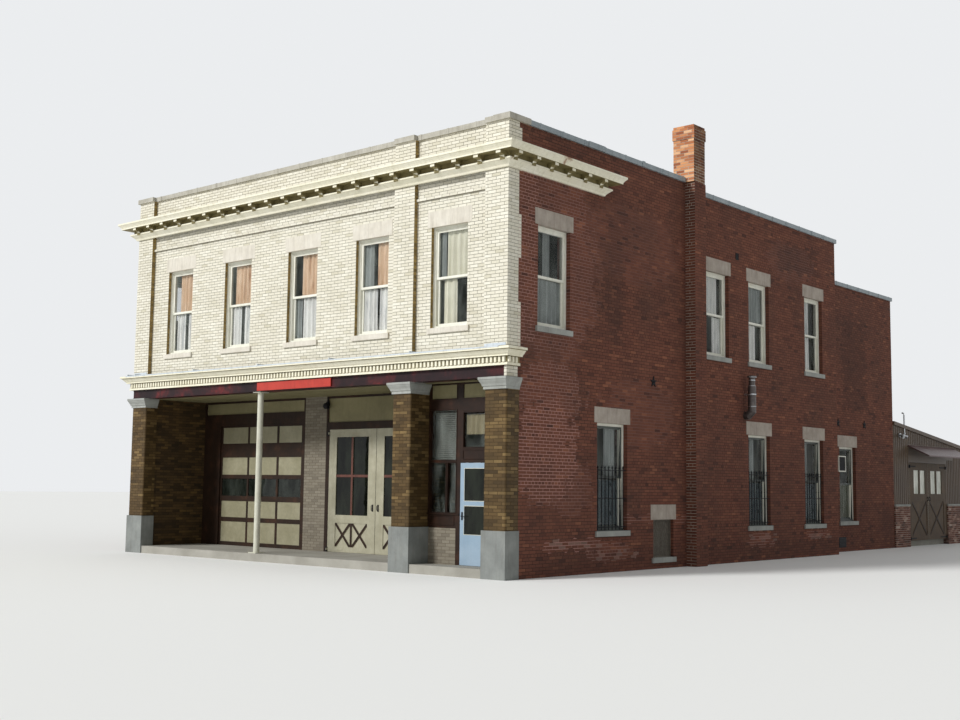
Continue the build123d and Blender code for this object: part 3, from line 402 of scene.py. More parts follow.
def makePatched(name):
    s = patched[name]
    finish = finishes[s["base"]].copy()
    finish.name = name
    tree = finish.node_tree
    shader = tree.nodes["Principled BSDF"]
    old = shader.inputs["Base Color"].links[0].from_socket
    spot = objectSpot(tree)
    shift = Vector(s.get("shift", (0, 0, 0)))
    if "shift" in s:
        ragged = addNode(tree, "ShaderNodeTexNoise", None, Vector=spot, Scale=perMetre(260), Detail=4.0).outputs[1]
        spot = addNode(tree, "ShaderNodeVectorMath", {"operation": "MULTIPLY_ADD"}, in0=ragged, in1=shift,
                       in2=spot).outputs[0]
    else:
        ragged = noised(tree, spot, 60)
    total = 0.0
    for (along, height), (wide, high), amount in s["patches"]:
        middle = (0, corner.y + along + shift.y / 2, corner.z + height + shift.z / 2)
        local = addNode(tree, "ShaderNodeMapping", {"vector_type": "TEXTURE"}, Vector=spot,
                        Location=middle, Scale=(1000.0, wide, high)).outputs[0]
        reach = addNode(tree, "ShaderNodeVectorMath", {"operation": "LENGTH"}, in0=local).outputs["Value"]
        if "torn" in s:
            reach = worked(tree, "MULTIPLY_ADD", ragged, s["torn"], reach)
        total = worked(tree, "MAXIMUM", total, ranged(tree, reach, *s["edge"], 0.0, amount))
    tree.links.new(mixed(tree, total, old, linear(s["colour"])), shader.inputs["Base Color"])
    return finish


for name in patched:
    finishes[name] = makePatched(name)

# Old drawn sheet glass, slightly wavy, with a patchy film of dust and rain marks over dark rooms; the dusky and the
# dark kind are nearly and wholly opaque, with the rooms' darkness on them as painted shade; the last kind is obscured
# glass.
paneGlass = {
    "dustSize": 320, "waveSize": 240, "waveDepth": 0.004, "roughness": 0.03,
    "kinds": {
        "sheetGlass": {"alpha": 0.14, "clean": "#20261f", "dusty": "#a2aaa3", "dust": 1.0, "gloss": 0.4},
        "duskySheetGlass": {"alpha": 0.80, "clean": "#151914", "dusty": "#5e645d", "dust": 0.3, "gloss": 0.25},
        "darkSheetGlass": {"alpha": 1.0, "clean": "#080a07", "dusty": "#262b22", "dust": 0.7, "gloss": 0.2},
        "obscuredSheetGlass": {"alpha": 1.0, "clean": "#989c8a", "dusty": "#ebebdc", "dust": 1.0, "gloss": 0.4},
    },
}


def makeGlass(name):
    s = paneGlass
    kind = s["kinds"][name]
    finish, tree, shader = newFinish(name)
    spot = objectSpot(tree)
    wave = noised(tree, spot, s["waveSize"], 1.0)
    bump = addNode(tree, "ShaderNodeBump", None, Height=wave, Strength=0.5, Distance=s["waveDepth"])
    tree.links.new(bump.outputs[0], shader.inputs["Normal"])
    rain = noised(tree, stretched(tree, spot, (1, 1, 0.35)), s["dustSize"], 3.0)
    film = ranged(tree, rain, 0.38, 0.7, 0.0, kind["dust"])
    tree.links.new(mixed(tree, film, linear(kind["clean"]), linear(kind["dusty"])), shader.inputs["Base Color"])
    shader.inputs["Roughness"].default_value = s["roughness"]
    shader.inputs["IOR"].default_value = 1.52
    shader.inputs["Specular IOR Level"].default_value = kind["gloss"]
    shader.inputs["Alpha"].default_value = kind["alpha"]
    return finish


for name in paneGlass["kinds"]:
    finishes[name] = makeGlass(name)


# Gives a CAD node its finishes; choose gets the middle of a face, from the front corner, and its normal.
def dress(node, names, choose=None):
    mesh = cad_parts[node].data
    mesh.materials.clear()
    for name in names.split():
        mesh.materials.append(finishes[name])
    if choose:
        for face in mesh.polygons:
            face.material_index = int(choose(face.center - corner, face.normal))


# Where faces of the CAD nodes lie, in metres from the front corner: back from the street, or out or in
# from the side wall.
planes = {
    "plaster": 0.32, "frontPlaster": 0.329, "annexPlaster": 0.92, "annexFront": 14.61, "annexRear": 19.68,
    "annexSetback": 0.6, "porchBack": 1.91, "garageDoor": 1.932, "bayFace": 1.88, "entryFace": 0.56,
    "transom": 0.58, "shedFace": -0.6, "coping": 0.4,
}


def innerSide(c, n):
    return buildingLeft + planes["plaster"] < c.x < -planes["plaster"]


def atDepth(plane, lowest=-1.0):
    return lambda c, n: abs(c.y - planes[plane]) < 0.002 and c.z > lowest


def streetFront(c, n):
    return c.y < 0.35 and c.z > 4 and buildingLeft + 0.2 < c.x < -0.2


dress("front_wall", "greyLimeMortar limewashPlaster", lambda c, n: c.y > planes["frontPlaster"])
dress("right_wall", "repointedUmberMortar limewashPlaster", innerSide)
dress("left_wall", "repointedUmberMortar limewashPlaster", innerSide)
dress("rear_wall", "umberMortar limewashPlaster", lambda c, n: n.y < -0.5)
dress("annex_walls", "umberMortar limewashPlaster",
      lambda c, n: buildingLeft + planes["annexPlaster"] < c.x < -planes["annexPlaster"] and c.y < planes["annexRear"])
dress("shed_wainscot", "whitishMortar dressedSandstone", lambda c, n: c.z > 1.115)
dress("chimney", "umberMortar whitishMortar", lambda c, n: c.z > 8.9 or n.y < -0.5)
for node, name in {
    # the porch's inner walls take mortar darkened as painted shade
    "piers": "amberMortar", "porch_side_walls": "porchShadeMortar", "bay_pier": "greyPinkMortar",
    "entry_bulkhead": "greyPinkMortar", "ground_floor": "broomedConcrete", "upper_floor": "sawnPine",
    "roof_decks": "chippedBitumen", "shed_roof": "brownSteelSheet", "pier_bases": "greyBaseStone",
    "pier_capitals": "dressedSandstone", "front_beam": "maroonSteelPaint", "sign_panel": "redEnamel",
    # the porch ceiling takes cream paint darkened as painted shade
    "porch_ceiling": "dullCreamPaint", "steel_post": "whiteSteelPaint", "entry_window": "darkVarnishedOak",
    "shed_siding": "brownSteelSheet", "shed_door_head": "brownSteelSheet", "shed_awning": "maroonSteelSheet",
}.items():
    dress(node, name)
# the street front's lintels and sills take the paler copy of the stone, as painted light
dress("lintels", "tooledSandstone paleSandstone", streetFront)
dress("sills", "dressedSandstone paleSandstone", streetFront)
# painted shade with some soot on the belt's undersides and on its fascia between the dentils
dress("belt_cornice", "creamOilPaint sootyCreamPaint", lambda c, n: n.z < -0.95 or 3.94 < c.z < 4.07)


# The roof cornice gets painted shade with some soot round its modillions: on the soffit, the band behind them and
# their sides.
def cornicePaint(c, n):
    depth, facing = max((-c.y, -n.y), (c.x, n.x), (buildingLeft - c.x, -n.x))
    if n.z < -0.95 and 8 < c.z < 8.06:
        return 1
    modillion = 7.931 < c.z < 8.055 or depth > 0.172 and 7.87 < c.z < 8.055
    return 1 if modillion and (facing < 0.7 or depth < 0.105 or c.z < 7.95) else 0


dress("roof_cornice", "creamOilPaint sootyCreamPaint rustStainedCreamPaint",
      lambda c, n: 1 if cornicePaint(c, n) else 2 if c.x > 0.001 else 0)


# The basement hatches are rusty, and the sashes behind the iron guards slate grey.
def frameFinish(c, n):
    if c.z < 0.93 and 5.0 < c.y < 6.1:
        return 1
    wall = min(-c.x, c.x - buildingLeft) - (planes["annexSetback"] if c.y > planes["annexFront"] else 0.0)
    return 2 if c.z < 3 and (0.1195 < wall < 0.1445 or c.z < 0.85) else 0


dress("window_frames", "creamSashPaint rustyWire slateSashPaint", frameFinish)
dress("coping", "glazedCopingTile buffCopingTile", lambda c, n: c.y < planes["coping"])
dress("vent_pipe", "weatheredGalvanised brightGalvanised", lambda c, n: 3.9 < c.z < 3.94)
# the recessed panels over the porch's doors, here and below, take cream paint darkened as painted shade
dress("garage_frame", "brownStainedPine dullCreamPaint", atDepth("porchBack", 3.2))
dress("garage_door", "brownStainedPine beigeDoorPaint", atDepth("garageDoor"))
dress("bay_header", "brownStainedPine dullCreamPaint", atDepth("porchBack"))
dress("bay_jambs", "brownStainedPine blackIron", lambda c, n: c.y < planes["bayFace"] - 0.0005)
dress("entry_posts", "darkVarnishedOak blackIron", lambda c, n: c.y < planes["entryFace"] - 0.0005)
dress("entry_head", "darkVarnishedOak dullCreamPaint", atDepth("transom"))
# the porch's door glass is nearly opaque, dark with painted shade
dress("window_glass", "sheetGlass duskySheetGlass", lambda c, n: 1.9 < c.y < 2.0 and c.z < 3)
dress("shed_jambs", "oliveDoorPaint blackIron", lambda c, n: c.x > planes["shedFace"] + 0.0005)


# A carriage leaf: iron hinges, plain boards, battens and panes are told by how deep they lie.
def dressLeaf(node, paint, battens, out, middle, iron=-0.0005, pane="darkSheetGlass", metal="blackIron"):
    def choose(c, n):
        depth = out(c)
        if depth < iron:
            return 3
        if abs(depth - middle) < 0.001 or abs(depth - middle - 0.008) < 0.001:
            return 2
        return 1 if 0.0025 < depth < 0.0035 or 0.0085 < depth < 0.0095 else 0
    dress(node, " ".join((paint, battens, pane, metal)), choose)


# their panes, and the entry door's, are the opaque glass, dark with painted shade
for node in ("bay_door_left", "bay_door_right"):
    dressLeaf(node, "creamDoorPaint", "brownStainedPine", lambda c: c.y - planes["bayFace"], 0.02, -0.006,
              metal="creamDoorPaint")
for node in ("shed_door_near", "shed_door_far"):
    dressLeaf(node, "oliveDoorPaint", "brownStainedPine", lambda c: planes["shedFace"] - c.x, 0.02,
              pane="obscuredSheetGlass")
dressLeaf("entry_door", "whiteAluminiumPaint", "whiteSteelPaint", lambda c: c.y - planes["entryFace"], 0.015)

print("stage 3: masonry")

masonry = {
    "course": 0.0668,      # bed joint to bed joint, so that 13 courses make a quoin block
    "firstBed": 0.020,     # height of a bed joint over the porch floor
    "brick": 0.203,
    "joint": 0.010,
    "proud": 0.0035,       # how far a brick stands out of its mortar
    "closer": 0.055,       # the shortest piece of brick that a bricklayer leaves
    "headerEvery": 7,      # one course of headers in the red walls' common bond
    "smear": 0.0018,       # how much of a brick's edge the repointing covers
    "smearDepth": 0.6,     # and of its depth
    "reveal": 0.098,       # depth of bricks inside a window opening, up to its frame
    "parapet": 0.33,
    "shedCap": 0.061,      # stone on the shed's wainscot
}


# The flat upright faces of a CAD node: (axis, side, place) of each and its triangles,
# as (along, height) points, where along is the other level axis.
def uprightFaces(node):
    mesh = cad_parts[node].data
    mesh.calc_loop_triangles()
    faces = {}
    for triangle in mesh.loop_triangles:
        normal = triangle.normal
        for axis in (0, 1):
            if abs(normal[axis]) > 0.999:
                points = [mesh.vertices[i].co for i in triangle.vertices]
                key = (axis, 1 if normal[axis] > 0 else -1, round(points[0][axis], 3))
                faces.setdefault(key, []).append([(p[1 - axis], p.z) for p in points])
    return faces


def inTriangle(u, z, triangle):
    signs = []
    for (u0, z0), (u1, z1) in zip(triangle, triangle[1:] + triangle[:1]):
        signs.append((u1 - u0) * (z - z0) - (z1 - z0) * (u - u0))
    return min(signs) >= -1e-9 or max(signs) <= 1e-9


# Bands of a face: (low, high, [(from, to), ...]) rows of open wall between its cut-outs.
def openBands(triangles, limits):
    uLow, uHigh, zLow, zHigh = (round(limit, 3) for pair in limits for limit in pair)
    us = {round(u, 3) for t in triangles for u, z in t} | {uLow, uHigh}
    zs = {round(z, 3) for t in triangles for u, z in t} | {zLow, zHigh}
    us = sorted(u for u in us if uLow - 1e-4 <= u <= uHigh + 1e-4)
    zs = sorted(z for z in zs if zLow - 1e-4 <= z <= zHigh + 1e-4)
    bands = []
    for z0, z1 in zip(zs, zs[1:]):
        spans = []
        for u0, u1 in zip(us, us[1:]):
            if any(inTriangle((u0 + u1) / 2, (z0 + z1) / 2, t) for t in triangles):
                if spans and spans[-1][1] == u0:
                    spans[-1] = (spans[-1][0], u1)
                else:
                    spans.append((u0, u1))
        if bands and bands[-1][1] == z0 and bands[-1][2] == spans:
            bands[-1] = (bands[-1][0], z1, spans)
        else:
            bands.append((z0, z1, spans))
    return [band for band in bands if band[2]]


# Upright joints of one course: every other course of stretchers is half a brick along,
# and a header course has twice as many.
def jointPlaces(low, high, index, bond):
    pitch = masonry["brick"] + masonry["joint"]
    headers = bond == "common" and index % masonry["headerEvery"] == 3
    step = pitch / 2 if headers else pitch
    start = (index % 2) * pitch / 2 + (pitch / 4 if headers else 0)
    first = math.ceil((low - start) / step)
    last = math.floor((high - start) / step)
    return [start + step * i for i in range(first, last + 1)]


tones = np.random.RandomState(12).random_sample(9973)


def toneOf(index, place, seed):
    return tones[(index * 1867 + int(round(place * 40)) * 331 + seed * 4751) % len(tones)]


# Soot and salt on a wall: kind, (from, to) along, (from, to) height, amount; in metres from the
# front corner at the porch floor.
sideMarks = [
    ("pointing", (0.2, 2.5), (1.15, 4.2), 1.0), ("pointing", (0.2, 3.0), (4.2, 8.0), 0.85),
    ("soot", (3.1, 4.0), (5.2, 8.0), 0.30), ("soot", (3.3, 3.9), (4.6, 7.6), 0.35),
    ("soot", (2.2, 3.0), (1.1, 2.2), 0.25), ("soot", (0.3, 6.4), (-0.2, 0.35), 0.2),
    ("soot", (11.0, 13.4), (7.35, 8.1), 0.45), ("soot", (16.2, 18.0), (3.9, 6.7), 0.40),
    ("soot", (6.9, 14.6), (-0.2, 0.3), 0.35), ("soot", (14.7, 20.0), (-0.2, 1.2), 0.2),
    ("bloom", (1.3, 3.3), (0.36, 0.47), 0.5), ("bloom", (3.0, 4.6), (0.10, 0.20), 0.45),
    ("bloom", (9.5, 10.8), (0.3, 0.42), 0.4), ("bloom", (12.7, 13.9), (0.3, 0.42), 0.4),
    ("pointing", (9.3, 11.0), (0.1, 0.6), 0.6), ("pointing", (1.2, 4.8), (0.0, 0.6), 0.5),
]


def marksAt(marks, along, height, luck):
    amounts = {"soot": 0.0, "bloom": 0.0, "pointing": 0.0}
    for kind, (low, high), (bottom, top), amount in marks:
        edge = min(along - low, high - along, (height - bottom) * 2, (top - height) * 2) / 0.4
        if edge > luck - 0.35:
            amounts[kind] = max(amounts[kind], amount * (0.75 + 0.25 * luck))
    return amounts["soot"], amounts["bloom"], amounts["pointing"]


def between(a, b, share):
    return a[0] + share * (b[0] - a[0]), a[1] + share * (b[1] - a[1])


class Wall:
    def __init__(self, seed, bond, marks=(), proud=masonry["proud"]):
        self.proud = proud
        self.strips = []
        self.seed = seed
        self.bond = bond
        self.marks = marks
        self.base = corner.z + masonry["firstBed"]

    # Yields (number, bottom, top) of each course between two heights.
    def courses(self, low, high):
        m = masonry
        first = math.floor((low - self.base) / m["course"])
        last = math.floor((high - self.base) / m["course"])
        for index in range(first, last + 1):
            bed = self.base + index * m["course"]
            z0 = max(low, bed + m["joint"] / 2)
            z1 = min(high, bed + m["course"] - m["joint"] / 2)
            if z1 - z0 > 0.006:
                yield index, z0, z1

    # Lays bricks on one face, inside limits of (along, height).
    def lay(self, key, triangles, limits, faces):
        for low, high, spans in openBands(triangles, limits):
            for index, z0, z1 in self.courses(low, high):
                for u0, u1 in spans:
                    self.course(key, u0, u1, z0, z1, index, faces)

    def course(self, key, u0, u1, z0, z1, index, faces):
        axis, side, place = key
        m = masonry
        joints = jointPlaces(u0 + m["closer"], u1 - m["closer"], index, self.bond)
        half = m["joint"] / 2
        starts = [u0] + [j + half for j in joints]
        ends = [j - half for j in joints] + [u1]
        if axis == 1:   # faces along x close the corner
            starts[0] -= self.proud * self.cornered(faces, u0, -1, place, z0, z1)
            ends[-1] += self.proud * self.cornered(faces, u1, 1, place, z0, z1)
        for a, b in zip(starts, ends):
            depth = self.proud * (0.8 + 0.3 * toneOf(index, a, self.seed + 1))
            if (axis == 0) != (side > 0):   # the wall lies to the left of the bricklayer's way
                a, b = b, a
            pair = [(place, a), (place, b)] if axis == 0 else [(a, place), (b, place)]
            out = (side * depth, 0) if axis == 0 else (0, side * depth)
            self.brick(pair, [(x + out[0], y + out[1]) for x, y in pair], z0, z1, index)

    # Whether another face of the wall turns away at this end of a course.
    def cornered(self, faces, end, way, place, z0, z1):
        middle = (z0 + z1) / 2
        for t in faces.get((0, way, round(end, 3)), []):
            near = min(abs(u - place) for u, z in t) < 0.002
            if near and min(z for u, z in t) <= middle <= max(z for u, z in t):
                return 1
        return 0

    def brick(self, inner, outer, z0, z1, index):
        x, y = inner[0]
        tone = toneOf(index, x + 1.7 * y, self.seed)
        luck = toneOf(index, x + 2.3 * y, self.seed + 2)
        soot, bloom, pointing = marksAt(self.marks, y - corner.y, z0 - corner.z, luck)
        if pointing and len(inner) == 2:   # mortar smeared over the brick's edges
            edge = masonry["smear"] * pointing
            share = edge / math.dist(*inner)
            c, d = (between(o, i, masonry["smearDepth"] * pointing) for i, o in zip(inner, outer))
            outer = [between(c, d, share), between(d, c, share)]
            inner = [between(*inner, share), between(*reversed(inner), share)]
            z0, z1 = z0 + edge, z1 - edge
        self.strips.append((inner, outer, z0, z1, tone, soot, bloom))

    # Lays courses round a pier, following its rounded corners.
    def layRound(self, loop, low, high):
        m = masonry
        sizes = [math.dist(a, b) for a, b in zip(loop, loop[1:] + loop[:1])]
        places = np.concatenate([[0], np.cumsum(sizes)])
        closed = loop + loop[:1]
        normals = []
        for a, b, size in zip(closed, closed[1:], sizes):
            normals.append(((b[1] - a[1]) / size, (a[0] - b[0]) / size))
        count = round(places[-1] / (m["brick"] + m["joint"]))
        step = places[-1] / count
        around = np.concatenate([places, places[1:] + places[-1]])

        def spot(place, depth):
            place = place % places[-1]
            i = min(int(np.searchsorted(places, place, "right")) - 1, len(sizes) - 1)
            t = (place - places[i]) / sizes[i]
            (ax, ay), (bx, by), (nx, ny) = closed[i], closed[i + 1], normals[i]
            return ax + t * (bx - ax) + depth * nx, ay + t * (by - ay) + depth * ny

        for index, z0, z1 in self.courses(low, high):
            for k in range(count):
                a = (index % 2) * step / 2 + k * step + m["joint"] / 2
                b = a + step - m["joint"]
                stops = [a] + [p for p in around if a + 0.002 < p < b - 0.002] + [b]
                depth = self.proud
                self.brick([spot(p, 0) for p in stops], [spot(p, depth) for p in stops], z0, z1, index)

    def build(self, name, finish):
        corners, quads, tone, soot, bloom = [], [], [], [], []
        for inner, outer, z0, z1, *values in self.strips:
            n, count = len(corners), len(inner)
            for (ix, iy), (ox, oy) in zip(inner, outer):
                corners += [(ix, iy, z0), (ix, iy, z1), (ox, oy, z0), (ox, oy, z1)]
            for i in range(n, n + 4 * count - 4, 4):
                quads += [(i + 2, i + 6, i + 7, i + 3), (i + 3, i + 7, i + 5, i + 1), (i, i + 4, i + 6, i + 2)]
            e = n + 4 * count - 4
            quads += [(n, n + 2, n + 3, n + 1), (e + 2, e, e + 1, e + 3)]
            for store, value in zip((tone, soot, bloom), values):
                store += [value] * (4 * count)
        mesh = bpy.data.meshes.new(name)
        mesh.from_pydata(corners, [], quads)
        for kind, values in (("tone", tone), ("soot", soot), ("bloom", bloom)):
            mesh.attributes.new(kind, "FLOAT", "POINT").data.foreach_set("value", values)
        print("  ", name, len(self.strips), "bricks")
        return addPiece(name, mesh, [finish])


def addPiece(name, mesh, dressing, body="building", bevel=0):
    for finish in dressing:
        mesh.materials.append(finish)
    piece = bpy.data.objects.new(name, mesh)
    bpy.context.scene.collection.objects.link(piece)
    if bevel:
        softened = piece.modifiers.new("softened edges", "BEVEL")
        softened.width = bevel
        softened.segments = 2
        softened.limit_method = "ANGLE"
    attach(piece, body)
    return piece


# Lays bricks on the faces of a node that lie inside one of the boxes, which are
# (lowest corner, highest corner), and turn the way that ways allows.
def layNode(wall, node, regions):
    faces = uprightFaces(node)
    for low, high, ways in regions:
        for key, triangles in faces.items():
            axis, side, place = key
            if (axis, side) not in ways:
                continue
            if low[axis] - 1e-4 <= place <= high[axis] + 1e-4:
                limits = ((low[1 - axis], high[1 - axis]), (low[2], high[2]))
                wall.lay(key, triangles, limits, faces)


# The closed outlines of a node's upright sides at one height, each anticlockwise.
def outlinesAt(node, height):
    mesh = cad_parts[node].data
    mesh.calc_loop_triangles()
    links = {}
    for triangle in mesh.loop_triangles:
        points = [mesh.vertices[i].co for i in triangle.vertices]
        cuts = []
        for a, b in zip(points, points[1:] + points[:1]):
            if (a.z - height) * (b.z - height) < 0:
                t = (height - a.z) / (b.z - a.z)
                cuts.append((round(a.x + t * (b.x - a.x), 4), round(a.y + t * (b.y - a.y), 4)))
        if len(cuts) == 2 and cuts[0] != cuts[1]:
            normal = triangle.normal
            a, b = cuts
            if (b[1] - a[1]) * normal.x - (b[0] - a[0]) * normal.y < 0:
                a, b = b, a
            links[a] = b
    loops = []
    while links:
        start, point = links.popitem()
        loop = [start]
        while point != start:
            loop.append(point)
            point = links.pop(point)
        loops.append([p for i, p in enumerate(loop) if not straight(loop[i - 1], p, loop[(i + 1) % len(loop)])])
    return loops


def straight(a, b, c):
    return abs((b[0] - a[0]) * (c[1] - b[1]) - (b[1] - a[1]) * (c[0] - b[0])) < 1e-7


right, left, rear, street = (0, 1), (0, -1), (1, 1), (1, -1)
deep = masonry["reveal"]
bedZero = corner.z + masonry["firstBed"]
roofLow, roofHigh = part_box("roof_decks")
annexLow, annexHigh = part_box("annex_walls")
sideFace = wallHigh.x
farFace = frontLow.x

# The cream brick turns the corner and is toothed into the red wall, in blocks of 13 courses.
quoin = {"narrow": 0.33, "wide": 0.41, "firstBlock": 64, "blockCourses": 13}


def quoinBlocks():
    q = quoin
    bed = bedZero + q["firstBlock"] * masonry["course"]
    blocks = [(wallLow.z, bed, q["narrow"])]
    wide = True
    while bed < wallHigh.z:
        top = min(bed + q["blockCourses"] * masonry["course"], wallHigh.z)
        blocks.append((bed, top, q["wide"] if wide else q["narrow"]))
        bed = top
        wide = not wide
    return blocks


def layFront():
    wall = Wall(3, "running")
    low, high = frontLow, frontHigh
    layNode(wall, "front_wall", [
        (low, (high.x, low.y + 0.0999, high.z), [street]),
        ((low.x, low.y + 0.1, low.z), (high.x, low.y + 0.101, high.z), [street]),
    ])
    # the returns of panels and openings take the darker buff brick, partly painted shade
    returns = Wall(41, "running")
    layNode(returns, "front_wall", [
        ((low.x + 0.01, low.y, low.z), (high.x - 0.01, low.y + 0.1 + deep, high.z), [left, right])])
    returns.build("front_return_bricks", bricks["buffBodyShadedBrick"])
    faces = uprightFaces("front_wall")
    for node, side, face in (("right_wall", right, sideFace), ("left_wall", left, farFace)):
        key = (*side, round(face, 3))
        triangles = faces[key] + uprightFaces(node)[key]
        for z0, z1, reach in quoinBlocks():
            wall.lay(key, triangles, ((low.y, low.y + reach), (max(z0, low.z), z1)), faces)
    wall.build("front_wall_bricks", bricks["glazedCreamBrick"])


def laySide(node, outer, way, seed):
    wall = Wall(seed, "common", sideMarks)
    low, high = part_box(node)
    a, b = sorted((outer, outer - way[1] * deep))
    for z0, z1, reach in quoinBlocks():
        start = frontLow.y + reach if z0 > frontLow.z + 0.5 else low.y
        layNode(wall, node, [((outer, start, z0), (outer, high.y, z1), [way])])
    layNode(wall, node, [
        ((a, low.y + 0.5, low.z), (b, high.y - 0.1, high.z), [street, rear]),
        ((low.x, high.y, low.z), high, [rear]),
    ])
    # the parapet's inner side
    inner = outer - way[1] * masonry["parapet"]
    layNode(wall, node, [
        ((inner, low.y, roofHigh.z), (inner, high.y - masonry["parapet"], high.z), [left, right])])
    wall.build(node + "_bricks", bricks["pressedRedBrick"])


def layRear():
    wall = Wall(11, "common", sideMarks)
    low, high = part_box("rear_wall")
    layNode(wall, "rear_wall", [
        ((low.x, high.y, low.z), (annexLow.x, high.y, high.z), [rear]),
        ((annexHigh.x, high.y, low.z), high, [rear]),
        ((annexLow.x, high.y, annexHigh.z - 0.2), (annexHigh.x, high.y, high.z), [rear]),
        ((low.x, low.y, roofHigh.z), (high.x, low.y, high.z), [street]),
    ])
    layNode(wall, "front_wall", [((low.x, frontHigh.y, roofHigh.z), (high.x, frontHigh.y, frontHigh.z), [rear])])
    wall.build("rear_wall_bricks", bricks["pressedRedBrick"])


def layAnnex():
    wall = Wall(13, "common", sideMarks)
    low, high = annexLow, annexHigh
    layNode(wall, "annex_walls", [
        ((high.x, low.y, low.z), high, [right]),
        (low, (low.x, high.y, high.z), [left]),
        ((low.x, high.y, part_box("shed_wainscot")[1].z + 2.6), high, [rear]),
        ((high.x - deep, low.y + 0.1, low.z), (high.x, high.y - 0.1, high.z), [street, rear]),
        ((low.x, low.y + 0.1, low.z), (low.x + deep, high.y - 0.1, high.z), [street, rear]),
    ])
    # the parapet's inner sides
    layNode(wall, "annex_walls", [
        ((low.x + 0.2, low.y + 0.2, corner.z + 7.45), (high.x - 0.2, high.y - 0.2, high.z), [left, right, street])])
    wall.build("annex_bricks", bricks["pressedRedBrick"])


def layWainscot():
    wall = Wall(17, "running")
    low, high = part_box("shed_wainscot")
    top = high.z - masonry["shedCap"]
    layNode(wall, "shed_wainscot", [(low, (high.x, high.y, top), [right, left, rear, street])])
    wall.build("shed_wainscot_bricks", bricks["mixedBrick"])


def layChimney():
    low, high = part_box("chimney")
    shaft = Wall(19, "common", sideMarks)
    layNode(shaft, "chimney", [((sideFace, low.y, low.z), (high.x, high.y, wallHigh.z), [right, street, rear])])
    shaft.build("chimney_shaft_bricks", bricks["pressedRedBrick"])
    stack = Wall(23, "running", [("pointing", (6.0, 7.5), (8.6, 9.15), 1.0)])
    layNode(stack, "chimney", [((low.x, low.y, wallHigh.z), high, [left, street])])
    # the stack's right and rear faces get the soot colour all over: painted shade on the faces turned from the light,
    # partly soot
    stack.marks = stack.marks + [("soot", (6.0, 7.5), (8.0, 11.0), 0.85)]
    layNode(stack, "chimney", [((low.x, low.y, wallHigh.z), high, [right, rear])])
    stack.build("chimney_stack_bricks", bricks["orangeBrick"])


def layPorch():
    wall = Wall(29, "running", proud=0.003)
    capLow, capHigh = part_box("pier_capitals")
    baseLow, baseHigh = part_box("pier_bases")
    for loop in outlinesAt("piers", (baseHigh.z + capLow.z) / 2):
        wall.layRound(loop, baseHigh.z, capLow.z)
    wall.build("pier_bricks", bricks["amberBrick"])
    # the porch's inner walls, in the amber brick darkened as painted shade
    wall = Wall(37, "running")
    low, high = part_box("porch_side_walls")
    layNode(wall, "porch_side_walls", [(low, high, [right, left, street])])
    wall.build("porch_wall_bricks", bricks["porchShadeAmberBrick"])
    wall = Wall(31, "running")
    for node in ("bay_pier", "entry_bulkhead"):
        low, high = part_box(node)
        layNode(wall, node, [(low, high, [street, rear])])
    wall.build("tan_bricks", bricks["tanBrick"])


layFront()
laySide("right_wall", sideFace, right, 5)
laySide("left_wall", farFace, left, 7)
layRear()
layAnnex()
layWainscot()
layChimney()
layPorch()

print("stage 4: trim, ironwork and curtains")


def at(x, y, z):
    return Vector((corner.x + x, corner.y + y, corner.z + z))


# Collects simple forms into one mesh; places are metres from the front corner at the porch floor.
class Shape:
    def __init__(self):
        self.corners = []
        self.faces = []

    def add(self, corners, faces):
        n = len(self.corners)
        self.corners += [at(*c) for c in corners]
        self.faces += [[n + i for i in face] for face in faces]

    # A straight solid between two rings of corners, anticlockwise seen from where the last one lies.
    def solid(self, first, last):
        n = len(first)
        faces = [(0, *reversed(range(1, n))), tuple(range(n, 2 * n))]
        faces += [(i, (i + 1) % n, (i + 1) % n + n, i + n) for i in range(n)]
        self.add([*first, *last], faces)

    def box(self, x0, x1, y0, y1, z0, z1):
        x0, x1, y0, y1, z0, z1 = *sorted((x0, x1)), *sorted((y0, y1)), *sorted((z0, z1))
        self.solid(*([(x0, y0, z), (x1, y0, z), (x1, y1, z), (x0, y1, z)] for z in (z0, z1)))

    # A round bar through points, with a radius at each.
    def bar(self, points, radii, sides=10):
        points = [Vector(p) for p in points]
        if not isinstance(radii, (list, tuple)):
            radii = [radii] * len(points)
        corners, faces = [], []
        for i, (point, radius) in enumerate(zip(points, radii)):
            way = (points[min(i + 1, len(points) - 1)] - points[max(i - 1, 0)]).normalized()
            one = way.orthogonal().normalized() if abs(way.z) < 0.99 else Vector((1, 0, 0))
            two = way.cross(one)
            for k in range(sides):
                angle = 2 * math.pi * k / sides
                corners.append(tuple(point + radius * (math.cos(angle) * one + math.sin(angle) * two)))
        for i in range(len(points) - 1):
            for k in range(sides):
                a, b = i * sides + k, i * sides + (k + 1) % sides
                faces.append((a, b, b + sides, a + sides))
        faces.append(tuple(reversed(range(sides))))
        last = (len(points) - 1) * sides
        faces.append(tuple(range(last, last + sides)))
        self.add(corners, faces)

    def mesh(self, name):
        mesh = bpy.data.meshes.new(name)
        mesh.from_pydata(self.corners, [], self.faces)
        return mesh


def piece(name, shape, dressing, slot, body="building", bevel=0):
    names = [dressing] if isinstance(dressing, str) else dressing
    return addPiece(name, shape.mesh(name), [finishes[n] for n in names], body, bevel)


# Dentils under the belt cornice, square blocks on its fascia.
dentils = {"fascia": 0.05, "reach": 0.045, "low": 3.955, "high": 4.062, "width": 0.055, "pitch": 0.103}


